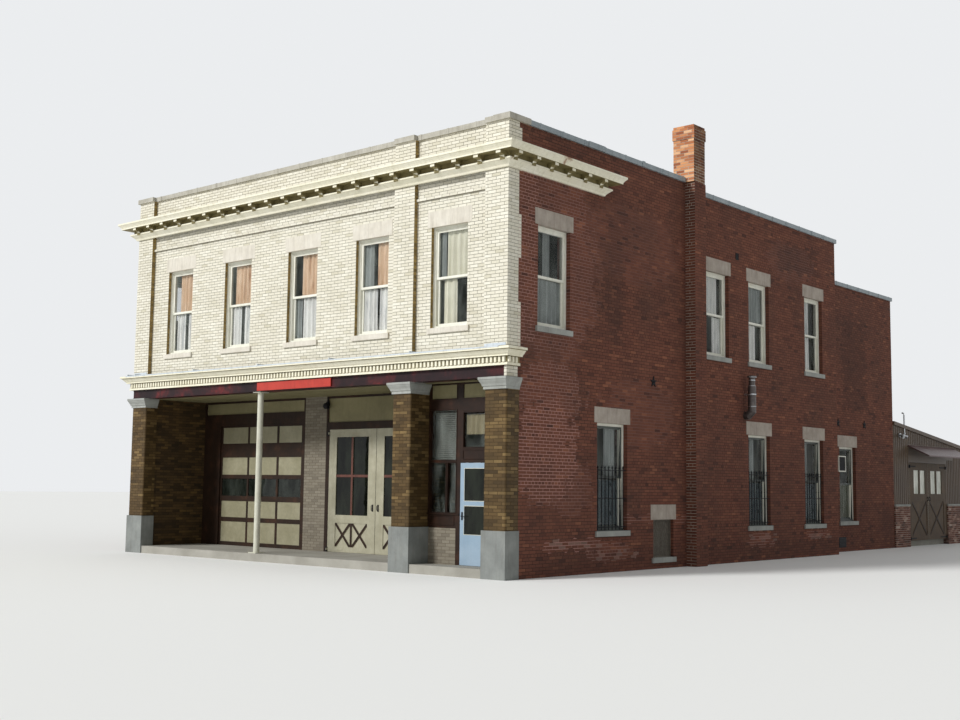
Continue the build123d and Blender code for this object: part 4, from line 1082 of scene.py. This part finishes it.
def addDentils():
    s = dentils
    shape = Shape()
    count = int((corner.x - farFace) / s["pitch"])
    for i in range(count + 1):
        x = -s["pitch"] * (i + 0.1)
        shape.box(x - s["width"] / 2, x + s["width"] / 2, -s["fascia"] - s["reach"], -s["fascia"],
                  s["low"], s["high"])
    for face, way in ((0, 1), (buildingLeft, -1)):
        for i in range(3):
            y = -s["fascia"] + s["pitch"] * (i + 0.4)
            shape.box(face + way * s["fascia"], face + way * (s["fascia"] + s["reach"]),
                      y - s["width"] / 2, y + s["width"] / 2, s["low"], s["high"])
    piece("belt_dentils", shape, "creamOilPaint", "cream_paint", bevel=0.004)


# Sheet metal on the belt cornice, turned up against the wall and down over the edge.
flashing = {"reach": 0.25, "top": 4.29, "edge": 4.245, "thick": 0.004, "upstand": 0.05, "sheet": 2.4, "seam": 0.012}


def addFlashing():
    s = flashing
    shape = Shape()
    t = s["thick"]
    x = 0.0
    while x > buildingLeft + 0.1:
        end = max(x - s["sheet"], buildingLeft)
        profile = [(-s["reach"] - t, s["edge"] - 0.02), (-s["reach"] - t, s["edge"] + t), (0.0, s["top"] + t),
                   (0.0, s["top"]), (-s["reach"], s["edge"]), (-s["reach"], s["edge"] - 0.02)]
        shape.solid(*([(p, y, z) for y, z in reversed(profile)] for p in (end, x)))
        shape.box(end - s["seam"], end + s["seam"], -0.2, -0.005, s["top"] - 0.028, s["top"] + 0.006)
        x = end
    # the cover pieces beside the corner pilasters
    for a, b in ((-0.56, -0.02), (buildingLeft + 0.02, buildingLeft + 0.56)):
        shape.box(a, b, -0.012, -0.006, s["top"], s["top"] + s["upstand"])
    piece("belt_flashing", shape, "blueWhiteFlashing", "cream_paint", bevel=0.001)


# Cover tiles over the joints of the coping.
copingJoints = {"pitch": 0.76, "width": 0.05, "proud": 0.006, "overhang": 0.05, "inner": 0.36, "thick": 0.11}


def addCopingJoints():
    s = copingJoints
    p, o = s["proud"], s["overhang"]
    front, low = Shape(), Shape()

    def over(shape, axis, place, a, b, top):
        half = s["width"] / 2
        spans = [(place - half, place + half), (a - p, b + p)]
        shape.box(*spans[axis], *spans[1 - axis], top - s["thick"] - p, top + p)

    x = -0.9
    while x > buildingLeft + 0.4:
        pilaster = -3.088 < x < -2.514 or x > -0.583 or x < -11.74
        over(front, 0, x, -o if pilaster else 0.1 - o, 0.36, 8.85)
        x -= s["pitch"]
    for outer, inner in ((o, -s["inner"]), (buildingLeft - o, buildingLeft + s["inner"])):
        a, b = sorted((outer, inner))
        y = 0.95
        while y < 14.2:
            over(low, 1, y, a, b, 8.85 if y < 7.04 else 8.67)
            y += s["pitch"]
    for outer, inner in ((-0.6 + o, -0.6 - s["inner"]), (buildingLeft + 0.6 - o, buildingLeft + 0.6 + s["inner"])):
        a, b = sorted((outer, inner))
        y = 15.2
        while y < 19.8:
            over(low, 1, y, a, b, 7.72)
            y += s["pitch"]
    piece("front_coping_joints", front, "buffCopingTile", "glazed_coping", bevel=0.003)
    piece("side_coping_joints", low, "glazedCopingTile", "glazed_coping", bevel=0.003)


# Brick moulds: the stepped wooden trim between the frames of the street front and the brick round them.
moulds = {
    "middles": (-10.62, -8.36, -6.065, -3.835, -1.61),
    "opening": (1.0, 4.76, 6.85),                            # width, sill, head
    "face": 0.2,
    "steps": [(0.0, 0.026, 0.020), (0.020, 0.016, 0.034)],   # (from, depth in front of the frame, to)
}


def addMoulds():
    s = moulds
    width, sill, head = s["opening"]
    shape = Shape()
    for middle in s["middles"]:
        for inner, proud, outer in s["steps"]:
            a, b = middle - width / 2 + inner, middle + width / 2 - inner
            low, high, wide = sill + inner, head - inner, outer - inner
            for x0, x1, z0, z1 in ((a, a + wide, low, high), (b - wide, b, low, high),
                                   (a + wide, b - wide, high - wide, high), (a + wide, b - wide, low, low + wide)):
                shape.box(x0, x1, s["face"] - proud, s["face"], z0, z1)
    piece("front_brick_moulds", shape, "creamSashPaint", "cream_paint", bevel=0.003)


# Wrought-iron guards in the lower half of the ground floor's windows.
guard = {"low": 0.70, "rail": 1.36, "top": 1.95, "tip": 2.05, "bars": 8, "width": 1.07, "bar": 0.0115,
         "strap": 0.018, "setback": 0.045, "scroll": 0.055, "middles": (3.56, 10.057, 13.14)}


def addGuards():
    s = guard
    for side, face, way in (("right", 0.0, -1), ("left", buildingLeft, 1)):
        for number, middle in enumerate(s["middles"]):
            shape = Shape()
            x = face + way * s["setback"]
            a, b = middle - s["width"] / 2, middle + s["width"] / 2
            for z in (s["low"] + 0.06, s["rail"], s["top"]):
                shape.box(x - 0.006, x + 0.006, a - 0.03, b + 0.03, z - s["strap"] / 2, z + s["strap"] / 2)
            for i in range(s["bars"]):
                y = a + (b - a) * (i + 0.5) / s["bars"]
                r = s["bar"]
                shape.bar([(x, y, s["low"]), (x, y, s["tip"] - 0.06), (x, y, s["tip"] - 0.045), (x, y, s["tip"])],
                          [r, r, r * 1.9, 0.001], 8)
                for z in (s["rail"] - 0.16, s["rail"] + 0.16):
                    shape.bar([(x, y, z - 0.012), (x, y, z), (x, y, z + 0.012)], [r, r * 1.6, r], 8)
            # scrolls between the middle bars
            for z in (s["rail"] + 0.28, s["low"] + 0.34):
                for turn in (-1, 1):
                    curl = []
                    for k in range(15):
                        angle = 2 * math.pi * k / 10
                        radius = s["scroll"] * (1 - k / 18)
                        across = 0.028 + radius * math.cos(angle)
                        curl.append((x, middle + turn * across, z + radius * math.sin(angle)))
                    shape.bar(curl, 0.005, 6)
            piece("window_guard_" + side + "_" + str(number + 1), shape, "blackIron", "galvanised")


# Woven wire over the basement hatches.
wire = {"pitch": 0.042, "radius": 0.0028, "setback": 0.085, "middle": 5.562, "half": 0.42,
        "low": 0.06, "tall": 0.834, "rim": 0.03}


def addHatchWire():
    s = wire
    shape = Shape()
    for face, way in ((0.0, -1), (buildingLeft, 1)):
        x = face + way * s["setback"]
        a, b = s["middle"] - s["half"], s["middle"] + s["half"]
        low, high, rim = s["low"], s["low"] + s["tall"], s["rim"]
        count = int((b - a) / s["pitch"])
        for i in range(1, count):
            y = a + (b - a) * i / count
            shape.bar([(x + 0.003 * (-1) ** (i + k), y, low + 0.002 + k * 0.083) for k in range(11)], s["radius"], 5)
        rows = int(s["tall"] / s["pitch"])
        for i in range(1, rows):
            z = low + s["tall"] * i / rows
            shape.bar([(x, a + 0.002, z), (x, b - 0.002, z)], s["radius"], 5)
        for y0, y1, z0, z1 in ((a, b, low, low + rim), (a, b, high - rim, high),
                               (a, a + rim, low, high), (b - rim, b, low, high)):
            shape.box(x - 0.012, x + 0.012, y0, y1, z0, z1)
    piece("hatch_wire", shape, "rustyWire", "galvanised")


# Cast-iron star washers of the tie rods through the walls.
anchors = {"radius": 0.13, "inner": 0.05, "thick": 0.022, "nut": 0.022}


def addAnchors():
    s = anchors
    shape = Shape()
    for face, way, y, z in ((0.0, 1, 5.15, 3.94), (-0.6, 1, 15.98, 3.55), (-0.6, 1, 17.82, 3.567),
                            (buildingLeft, -1, 5.15, 3.94), (buildingLeft + 0.6, -1, 17.82, 3.567)):
        turns = [math.pi / 2 + way * math.pi * k / 5 for k in range(10)]
        sizes = [s["radius"], s["inner"]] * 5
        outline = [(y + size * math.cos(turn), z + size * math.sin(turn)) for size, turn in zip(sizes, turns)]
        near = face + way * (0.004 + s["thick"])
        shape.solid(*([(x, u, v) for u, v in outline] for x in (face + way * 0.001, near)))
        shape.bar([(near - way * 0.01, y, z), (near + way * 0.018, y, z), (near + way * 0.022, y, z)],
                  [s["nut"], s["nut"], s["nut"] * 0.5], 6)
    piece("tie_rod_stars", shape, "blackIron", "galvanised", bevel=0.003)


# The small iron vent high in the right wall, between two windows.
wallVent = {"middle": (8.99, 7.345), "size": (0.15, 0.17), "rim": 0.014, "out": 0.014, "slats": 5}


def addWallVent():
    s = wallVent
    (y, z), (wide, high), rim, out = s["middle"], s["size"], s["rim"], s["out"]
    shape = Shape()
    shape.box(0.0005, 0.005, y - wide / 2, y + wide / 2, z - high / 2, z + high / 2)
    for side in (-1, 1):
        shape.box(0.0055, out, y + side * wide / 2, y + side * (wide / 2 - rim), z - high / 2, z + high / 2)
        shape.box(0.0055, out, y - wide / 2 + rim + 0.001, y + wide / 2 - rim - 0.001,
                  z + side * high / 2, z + side * (high / 2 - rim))
    pitch = (high - 2 * rim) / s["slats"]
    for k in range(s["slats"]):
        low = z - high / 2 + rim + (k + 0.3) * pitch
        shape.box(0.0055, out * 0.8, y - wide / 2 + rim + 0.001, y + wide / 2 - rim - 0.001, low, low + pitch * 0.35)
    piece("high_wall_vent", shape, "blackIron", "galvanised", bevel=0.001)


# Curtains: wall, middle of the window, (bottom, top), (from, to) as shares of the width, cloth.
curtains = {
    "wave": 0.15, "depth": 0.026, "rows": 9,
    "front": [
        (-10.62, "upper", 0.18, 1.0, "peachCotton"),
        (-10.62, "lower", 0.10, 0.52, "whiteVoile"), (-10.62, "lower", 0.60, 0.92, "whiteVoile"),
        (-8.36, "upper", 0.14, 1.0, "peachCotton"),
        (-8.36, "lower", 0.0, 0.44, "whiteVoile"), (-8.36, "lower", 0.52, 0.96, "whiteVoile"),
        (-6.065, "upper", 0.24, 1.0, "peachCotton"),
        (-6.065, "lower", 0.0, 0.30, "greyLining"), (-6.065, "lower", 0.32, 0.84, "whiteVoile"),
        (-3.835, "upper", 0.0, 0.34, "greyLining"), (-3.835, "upper", 0.46, 1.0, "peachCotton"),
        (-3.835, "lower", 0.0, 0.50, "whiteVoile"), (-3.835, "lower", 0.58, 0.97, "whiteVoile"),
        (-1.61, "upper", 0.0, 0.20, "greyLining"), (-1.61, "upper", 0.24, 0.96, "creamVoile"),
        (-1.61, "lower", 0.12, 0.56, "creamVoile"),
    ],
    "side": [
        (1.484, "upper", 0.36, 0.60, "greyLining"), (1.484, "lower", 0.0, 1.0, "greyLining"),
        (8.025, "upper", 0.0, 0.85, "whiteVoile"), (8.025, "lower", 0.55, 1.0, "whiteVoile"),
        (10.101, "upper", 0.0, 1.0, "greyLining"), (10.101, "lower", 0.05, 0.7, "whiteVoile"),
        (13.211, "upper", 0.0, 0.62, "whiteVoile"), (13.211, "lower", 0.0, 0.62, "whiteVoile"),
    ],
    "ground": [
        (3.56, "top", 0.45, 0.85, "greyLining"), (3.56, "bottom", 0.0, 1.0, "blueLining"),
        (10.057, "top", 0.3, 0.6, "greyLining"), (10.057, "bottom", 0.0, 1.0, "blueLining"),
        (13.14, "top", 0.2, 0.5, "greyLining"), (13.14, "bottom", 0.0, 1.0, "blueLining"),
        (16.605, "bottom", 0.0, 1.0, "oliveLining"),
    ],
}
sashes = {"front": {"upper": (5.83, 6.76), "lower": (4.86, 5.77)},
          "side": {"upper": (5.80, 6.71), "lower": (4.86, 5.74)},
          "ground": {"top": (1.83, 2.84), "bottom": (0.80, 1.75)}}
rodShape = {"radius": 0.007, "knob": 0.013}
curtainPlanes = {"front": 0.302, "side": 0.2, "annex": 0.6, "transom": 0.638}


# A rod with a knob at each end; place turns (along, height) into a point.
def addRod(rods, place, low, high, z):
    knob, radius = rodShape["knob"], rodShape["radius"]
    rods.bar([place(u, z) for u in (low - 0.025, low + 0.01, high - 0.01, high + 0.025)],
             [knob, radius, radius, knob], 8)


def addCurtain(name, where, along, zs, cloth):
    c = curtains
    low, high = along
    steps = max(24, int((high - low) / c["wave"] * 16))
    drift = random.Random(name).uniform(0, 6)
    corners = []
    for row in range(c["rows"] + 1):
        z = zs[1] - (zs[1] - zs[0]) * row / c["rows"]
        swing = c["depth"] * (0.75 + 0.25 * row / c["rows"])
        line = []
        for i in range(steps + 1):
            u = low + (high - low) * i / steps
            phase = 2 * math.pi * (u - low) / c["wave"] + drift + 0.5 * math.sin(9 * u + drift)
            line.append(where(u, swing * math.sin(phase) * (0.8 + 0.2 * math.sin(3.1 * phase / 2 + drift)), z))
        corners += line
    wide = steps + 1
    faces = [(r * wide + i, r * wide + i + 1, (r + 1) * wide + i + 1, (r + 1) * wide + i)
             for r in range(c["rows"]) for i in range(steps)]
    mesh = bpy.data.meshes.new(name)
    mesh.from_pydata(corners, [], faces)
    mesh.polygons.foreach_set("use_smooth", [True] * len(faces))
    cloth = addPiece(name, mesh, [finishes[cloth]])


def addCurtains():
    p = curtainPlanes
    rods = Shape()
    rods.bar([(x, p["transom"], 3.03) for x in (-1.59, -1.55, -0.85, -0.82)],
             [rodShape[k] for k in ("knob", "radius", "radius", "knob")], 8)
    jobs = [("transom_curtain", lambda u, w, z: at(u, p["transom"] + 0.6 * w, z), (-1.54, -0.87), (2.62, 3.03),
             "yellowedVoile")]

    def hang(name, kind, entry, half, point):
        middle, sash, a, b, cloth = entry
        low, high = middle - half, middle + half
        zs = sashes[kind][sash]
        jobs.append((name, lambda u, w, z: at(*point(u, w, z)),
                     (low + (high - low) * a + 0.01, low + (high - low) * b - 0.01), zs, cloth))
        addRod(rods, lambda u, z: point(u, 0, z), low, high, zs[1])

    for number, entry in enumerate(curtains["front"]):
        hang("front_curtain_" + str(number + 1), "front", entry, 0.42, lambda u, w, z: (u, p["front"] + w, z))
    for side, face, way in (("right", 0.0, -1), ("left", buildingLeft, 1)):
        for kind, half in (("side", 0.46), ("ground", 0.485)):
            for number, entry in enumerate(curtains[kind]):
                plane = face + way * (p["side"] + (p["annex"] if entry[0] > 14.61 else 0.0))
                hang("_".join((side, kind, "curtain", str(number + 1))), kind, entry, half,
                     lambda u, w, z, plane=plane: (plane + w, u, z))
    piece("curtain_rods", rods, "brightGalvanised", "galvanised")
    for job in jobs:
        addCurtain(*job)


# Glazing bars of the carriage doors, on both faces of each leaf's panes.
glazingBars = {"width": 0.06, "proud": 0.004}


def addGlazingBars():
    s = glazingBars
    half = s["width"] / 2
    lights = (0.869, 2.693)
    width = (3.18 - 0.012) / 2 - 0.006
    for body, start in (("bay_leaf_left", -6.97 + 0.006), ("bay_leaf_right", -3.79 - 0.006 - width)):
        shape = Shape()
        x0, x1 = start + 0.25, start + width - 0.25
        middle, rail = (x0 + x1) / 2, (lights[0] + lights[1]) / 2
        for y0, y1 in ((1.88 - s["proud"], 1.88 + 0.004), (1.94 - 0.004, 1.94 + s["proud"])):
            shape.box(middle - half, middle + half, y0, y1, *lights)
            shape.box(x0, middle - half, y0, y1, rail - half, rail + half)
            shape.box(middle + half, x1, y0, y1, rail - half, rail + half)
        piece(body + "_glazing_bars", shape, "redBrownPaint", "brown_paint", body, bevel=0.003)


# Mouldings of the entry: (from, to, bottom, top) of what each frames, on the frame and on the door.
entryBeads = {
    "frame": [(-2.445, -2.025, 1.046, 2.046), (-1.975, -1.75, 1.046, 2.046), (-2.445, -1.75, 2.106, 3.117),
              (-2.445, -1.75, 3.357, 3.638), (-1.561, -0.738, 2.363, 3.06), (-1.561, -0.738, 2.13, 2.29),
              (-2.43, -1.80, 0.80, 0.96)],
    "door": [(-1.52, -0.816, 0.62, 1.18), (-1.52, -0.816, 1.29, 1.93)],
    "width": 0.02, "proud": 0.012, "doorWidth": 0.012, "doorProud": 0.003,
    "sill": (-2.52, -1.645, 1.0, 1.026, 0.03),
}


def addEntryBeads():
    s = entryBeads
    for name, body, finish, slot, wide, proud in (
            ("frame", "building", "darkVarnishedOak", "dark_wood", s["width"], s["proud"]),
            ("door", "entry_leaf", "whiteSteelPaint", "white_paint", s["doorWidth"], s["doorProud"])):
        shape = Shape()
        for x0, x1, z0, z1 in s[name]:
            ring = [(x0 - wide, z0 - wide), (x1 + wide, z0 - wide), (x1 + wide, z1 + wide), (x0 - wide, z1 + wide)]
            inner = [(x0, z0), (x1, z0), (x1, z1), (x0, z1)]
            near, far = 0.56 - proud, 0.56
            corners = [(x, far, z) for x, z in ring] + [(x + wide * 0.35 * (1 if x < (x0 + x1) / 2 else -1), near,
                       z + wide * 0.35 * (1 if z < (z0 + z1) / 2 else -1)) for x, z in ring]
            corners += [(x, near, z) for x, z in inner] + [(x, far, z) for x, z in inner]
            faces = []
            for row in (0, 4, 8):
                faces += [(row + i, row + (i + 1) % 4, row + (i + 1) % 4 + 4, row + i + 4) for i in range(4)]
            shape.add(corners, faces)
        if name == "frame":
            x0, x1, z0, z1, out = s["sill"]
            shape.box(x0, x1, 0.56 - out, 0.56, z0, z1)
        piece("entry_" + name + "_mouldings", shape, finish, slot, body)


# Door furniture: (body, middle of the handle, which way is out, height).
handles = {"plate": (0.045, 0.16), "grip": 0.11, "bar": 0.008}


def addHandles():
    s = handles
    for body, slot, x, y, z, axis, way, lever in (
            ("entry_leaf", "white_paint", -1.575, 0.56, 0.98, 1, -1, True),
            ("bay_leaf_left", "brown_paint", -5.47, 1.88, 1.05, 1, -1, False),
            ("bay_leaf_right", "brown_paint", -5.29, 1.88, 1.05, 1, -1, False),
            ("shed_leaf_near", "brown_paint", -0.60, 22.76, 1.34, 0, 1, False),
            ("shed_leaf_far", "brown_paint", -0.60, 22.94, 1.34, 0, 1, False)):
        shape = Shape()
        half, tall = s["plate"][0] / 2, s["plate"][1] / 2
        if axis == 1:
            shape.box(x - half, x + half, y + way * 0.004, y, z - tall, z + tall)
        else:
            shape.box(x, x + way * 0.004, y - half, y + half, z - tall, z + tall)
        def out(a, b, c):
            return (x + a, y + way * b, z + c) if axis == 1 else (x + way * b, y + a, z + c)
        if lever:
            shape.bar([out(0, 0.0, 0), out(0, 0.04, 0), out(0.01, 0.05, 0), out(0.1, 0.05, -0.004)],
                      [0.009, 0.009, 0.008, 0.007], 8)
        else:
            g = s["grip"] / 2
            shape.bar([out(0, 0, -g), out(0, 0.035, -g), out(0, 0.045, -g + 0.012), out(0, 0.045, g - 0.012),
                       out(0, 0.035, g), out(0, 0, g)], s["bar"], 8)
        piece(body + "_handle", shape, "blackIron", slot, body, bevel=0.001)


# Ribs of the shed's steel sheet, cut round the doors, and the seams of its roof.
siding = {
    "pitch": 0.152, "top": 0.032, "foot": 0.055, "proud": 0.014,
    "face": -0.6, "start": 20.09, "back": 26.1, "wainscot": 1.17,
    "doors": (21.16, 25.18, 2.66, 3.1, 24.54),   # from, to, foot of the far stretch, head, where that starts
}


def addSiding():
    s = siding
    shape = Shape()
    a, b, proud = s["foot"] / 2, s["top"] / 2, s["proud"]

    # A rib between two heights, the upper one sloped from one edge to the other; place turns
    # (along, out) into a point.
    def rib(place, y, low, high, lower, inwards):
        plan = [place(y - a, 0), place(y - b, proud), place(y + b, proud), place(y + a, 0)]
        corners = [(*p, low) for p in plan] + [(*p, z) for p, z in zip(plan, (high, high, lower, lower))]
        faces = [(0, 1, 5, 4), (1, 2, 6, 5), (2, 3, 7, 6), (4, 5, 6, 7), (3, 2, 1, 0)]
        shape.add(corners, [face[::-1] for face in faces] if inwards else faces)

    under, (doorsFrom, doorsTo, leafFoot, doorHead, ribFrom) = s["wainscot"], s["doors"]
    for face, way in ((s["face"], 1), (buildingLeft - s["face"], -1)):
        y = s["start"]
        while y < s["back"] - 0.05:
            roof = 3.68 - 0.63 * (y - 20.0) / 6.1
            low = under
            if way > 0 and doorsFrom < y < doorsTo:
                low = doorHead
                if y > ribFrom:   # the stretch past the leaves, under the head
                    rib(lambda u, out: (face + way * out, u), y, under, leafFoot, leafFoot, way < 0)
            if roof > low + 0.05:
                rib(lambda u, out: (face + way * out, u), y, low, roof + 0.002, roof - 0.002, way < 0)
            y += s["pitch"]
    x = s["face"] - 0.15
    while x > buildingLeft + 0.7:
        rib(lambda u, out: (u, s["back"] + out), x, under, 3.04, 3.04, True)
        x -= s["pitch"]
    piece("shed_siding_ribs", shape, "brownSteelSheet", "brown_steel")


roofSeams = {"pitch": 0.45, "half": 0.012, "tall": 0.025, "eaves": (26.16, 3.155), "wall": (20.0, 3.79)}


def addRoofSeams():
    s = roofSeams
    shape = Shape()
    h, tall = s["half"], s["tall"]
    x = -1.0
    while x > buildingLeft + 0.7:
        shape.solid(*([(x - h, y, z + tall), (x + h, y, z + tall), (x + h, y, z), (x - h, y, z)]
                      for y, z in (s["wall"], s["eaves"])))
        x -= s["pitch"]
    piece("shed_roof_seams", shape, "brownSteelSheet", "brown_steel", bevel=0.003)


# Laps of the bitumen sheets on both flat roofs.
laps = {"roll": 0.95, "width": 0.09, "proud": 0.006}


def addLaps():
    s = laps
    shape = Shape()
    for x0, x1, y0, y1, top in ((-12.0, -0.33, 0.33, 14.28, 8.48), (-11.4, -0.93, 14.61, 19.67, 7.45)):
        y = y0 + s["roll"]
        while y < y1:
            shape.box(x0, x1, y - s["width"] / 2, y + s["width"] / 2, top - 0.002, top + s["proud"])
            y += s["roll"]
    piece("roofing_laps", shape, "chippedBitumen", "roofing", bevel=0.002)


# Matched boards of the porch ceiling, in cream paint darkened as painted shade.
ceilingBoards = {"board": 0.083, "gap": 0.007, "thick": 0.008, "length": 3.6}


def addCeilingBoards():
    s = ceilingBoards
    shape = Shape()
    low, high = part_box("porch_ceiling")
    x0, x1 = low.x - corner.x + 0.004, high.x - corner.x - 0.004
    y0, y1, z = low.y - corner.y + 0.004, high.y - corner.y - 0.004, low.z - corner.z
    y = y0
    row = 0
    while y < y1 - 0.02:
        end = min(y + s["board"], y1)
        x = x0
        first = s["length"] * (0.4 + 0.23 * (row % 3))
        while x < x1:
            stop = min(x1, x + (first if x == x0 else s["length"]))
            shape.box(x, stop - 0.002, y, end, z - s["thick"], z)
            x = stop
        y += s["board"] + s["gap"]
        row += 1
    piece("ceiling_boards", shape, "dullCreamPaint", "cream_paint", bevel=0.002)


# The bell beside the bay doors, on its box; its rings are (how far out, radius).
bell = {"middle": (-7.035, 3.44), "box": (0.04, 1.835, 1.88, 3.38, 3.54),
        "rings": [(1.80, 0.02), (1.79, 0.075), (1.765, 0.07), (1.745, 0.02)],
        "stem": (1.79, 0.018), "conduit": (1.865, 3.66, 0.009)}


def addBell():
    s = bell
    shape = Shape()
    x, z = s["middle"]
    half, near, far, low, high = s["box"]
    shape.box(x - half, x + half, near, far, low, high)
    shape.bar([(x, y, z) for y, radius in s["rings"]], [radius for y, radius in s["rings"]], 20)
    end, radius = s["stem"]
    shape.bar([(x, near, z), (x, end, z)], radius, 10)
    y, top, radius = s["conduit"]
    shape.bar([(x, y, high), (x, y, top)], radius, 8)
    piece("porch_bell", shape, "blackIron", "galvanised", bevel=0.002)


# The conduit bent up the shed's siding with its two clips, and the flood lamp's two heads on their box.
shedLamp = {
    "face": -0.60, "radius": 0.025, "clips": (3.44, 3.60),
    "conduit": [(20.70, 3.36), (20.84, 3.36), (20.88, 3.40), (20.88, 4.02), (20.84, 4.08), (20.74, 4.08)],
    "heads": ((20.42, -0.05), (20.56, 0.05)), "rings": [0.018, 0.03, 0.035, 0.06],
}


def addShedLamp():
    s = shedLamp
    face = s["face"]
    conduit, lamp = Shape(), Shape()
    conduit.bar([(face + s["radius"], y, z) for y, z in s["conduit"]], s["radius"], 10)
    for z in s["clips"]:
        conduit.box(face, face + 0.052, 20.845, 20.915, z - 0.012, z + 0.012)
    piece("shed_conduit", conduit, "brightGalvanised", "galvanised")
    (left, _), (right, _) = s["heads"]
    lamp.box(face, face + 0.055, left, right, 3.30, 3.42)
    for y, tilt in s["heads"]:
        lamp.bar([(-0.55, y, 3.36), (-0.50, y + tilt * 0.4, 3.36), (-0.47, y + tilt, 3.34),
                  (-0.38, y + 1.6 * tilt, 3.29)], s["rings"], 14)
    piece("shed_flood_lamp", lamp, "brightGalvanised", "galvanised", bevel=0.002)


# The annex wall's two vents, one with a painted rim, their slats, and the straps round the vent pipe.
annexVents = {
    "plates": [(-0.585, 15.96, 16.40, 2.15, 2.57), (-0.594, 15.93, 16.42, -0.06, 0.24)],
    "rim": [(15.94, 16.42, 2.13, 2.16), (15.94, 16.42, 2.56, 2.59), (15.94, 15.97, 2.16, 2.56),
            (16.39, 16.42, 2.16, 2.56)],
    "slats": [(9, 2.18, -0.586, 15.97, 16.39), (6, -0.03, -0.598, 15.95, 16.40)],   # count, foot, x, from, to
    "slat": [(0, 0.03), (0.014, 0), (0.016, 0.003), (0.002, 0.033)],
    "pitch": 0.042,
    "straps": [(4.128, 0.092, 0.018), (4.27, 0.084, 0.022), (4.345, 0.118, 0.012), (3.62, 0.104, 0.012)],
}


def addAnnexVents():
    s = annexVents
    plates, rim, louvres, straps = Shape(), Shape(), Shape(), Shape()
    for out, *sizes in s["plates"]:
        plates.box(-0.600, out, *sizes)
    for sizes in s["rim"]:
        rim.box(-0.600, -0.566, *sizes)
    for count, foot, x, y0, y1 in s["slats"]:
        for z in (foot + s["pitch"] * i for i in range(count)):
            louvres.solid(*([(x + u, y, z + v) for u, v in s["slat"]] for y in (y1, y0)))
    for z, radius, tall in s["straps"]:
        straps.bar([(0.2, 9.33, z - tall / 2), (0.2, 9.33, z + tall / 2)], radius, 24)
    piece("annex_vent_plates", plates, "blackIron", "galvanised")
    piece("annex_vent_rim", rim, "creamSashPaint", "galvanised", bevel=0.002)
    piece("annex_vent_louvres", louvres, "blackIron", "galvanised")
    piece("vent_bands", straps, "brightGalvanised", "galvanised")


# A pleated blind behind the entry window's upper light; a pleat slopes from (out, up) to (out, up).
blind = {"from": -2.40, "to": -1.80, "low": 2.12, "high": 3.06, "pitch": 0.042, "near": 0.626, "far": 0.650,
         "rise": 0.036, "thick": (0.001, -0.0015), "tapes": (-2.25, -1.95), "head": (3.095, 3.117)}


def addBlind():
    s = blind
    shape = Shape()
    (out, up), a, b = s["thick"], s["from"], s["to"]
    z = s["low"]
    while z < s["high"]:
        pleat = [(a, s["near"], z), (b, s["near"], z), (b, s["far"], z + s["rise"]), (a, s["far"], z + s["rise"])]
        shape.solid([(x, y + out, v + up) for x, y, v in pleat], pleat)
        z += s["pitch"]
    for x in s["tapes"]:
        shape.box(x - 0.002, x + 0.002, 0.638, 0.642, 2.11, 3.11)
    shape.box(a - 0.01, b + 0.01, s["near"] - 0.001, s["far"] + 0.002, *s["head"])
    piece("entry_blind", shape, "waxedBlind", "white_paint")


for addThem in (addDentils, addFlashing, addCopingJoints, addMoulds, addGuards, addHatchWire, addAnchors,
                addWallVent, addCurtains, addGlazingBars, addEntryBeads, addHandles, addSiding, addRoofSeams,
                addLaps, addCeilingBoards, addBell, addShedLamp, addAnnexVents, addBlind):
    addThem()
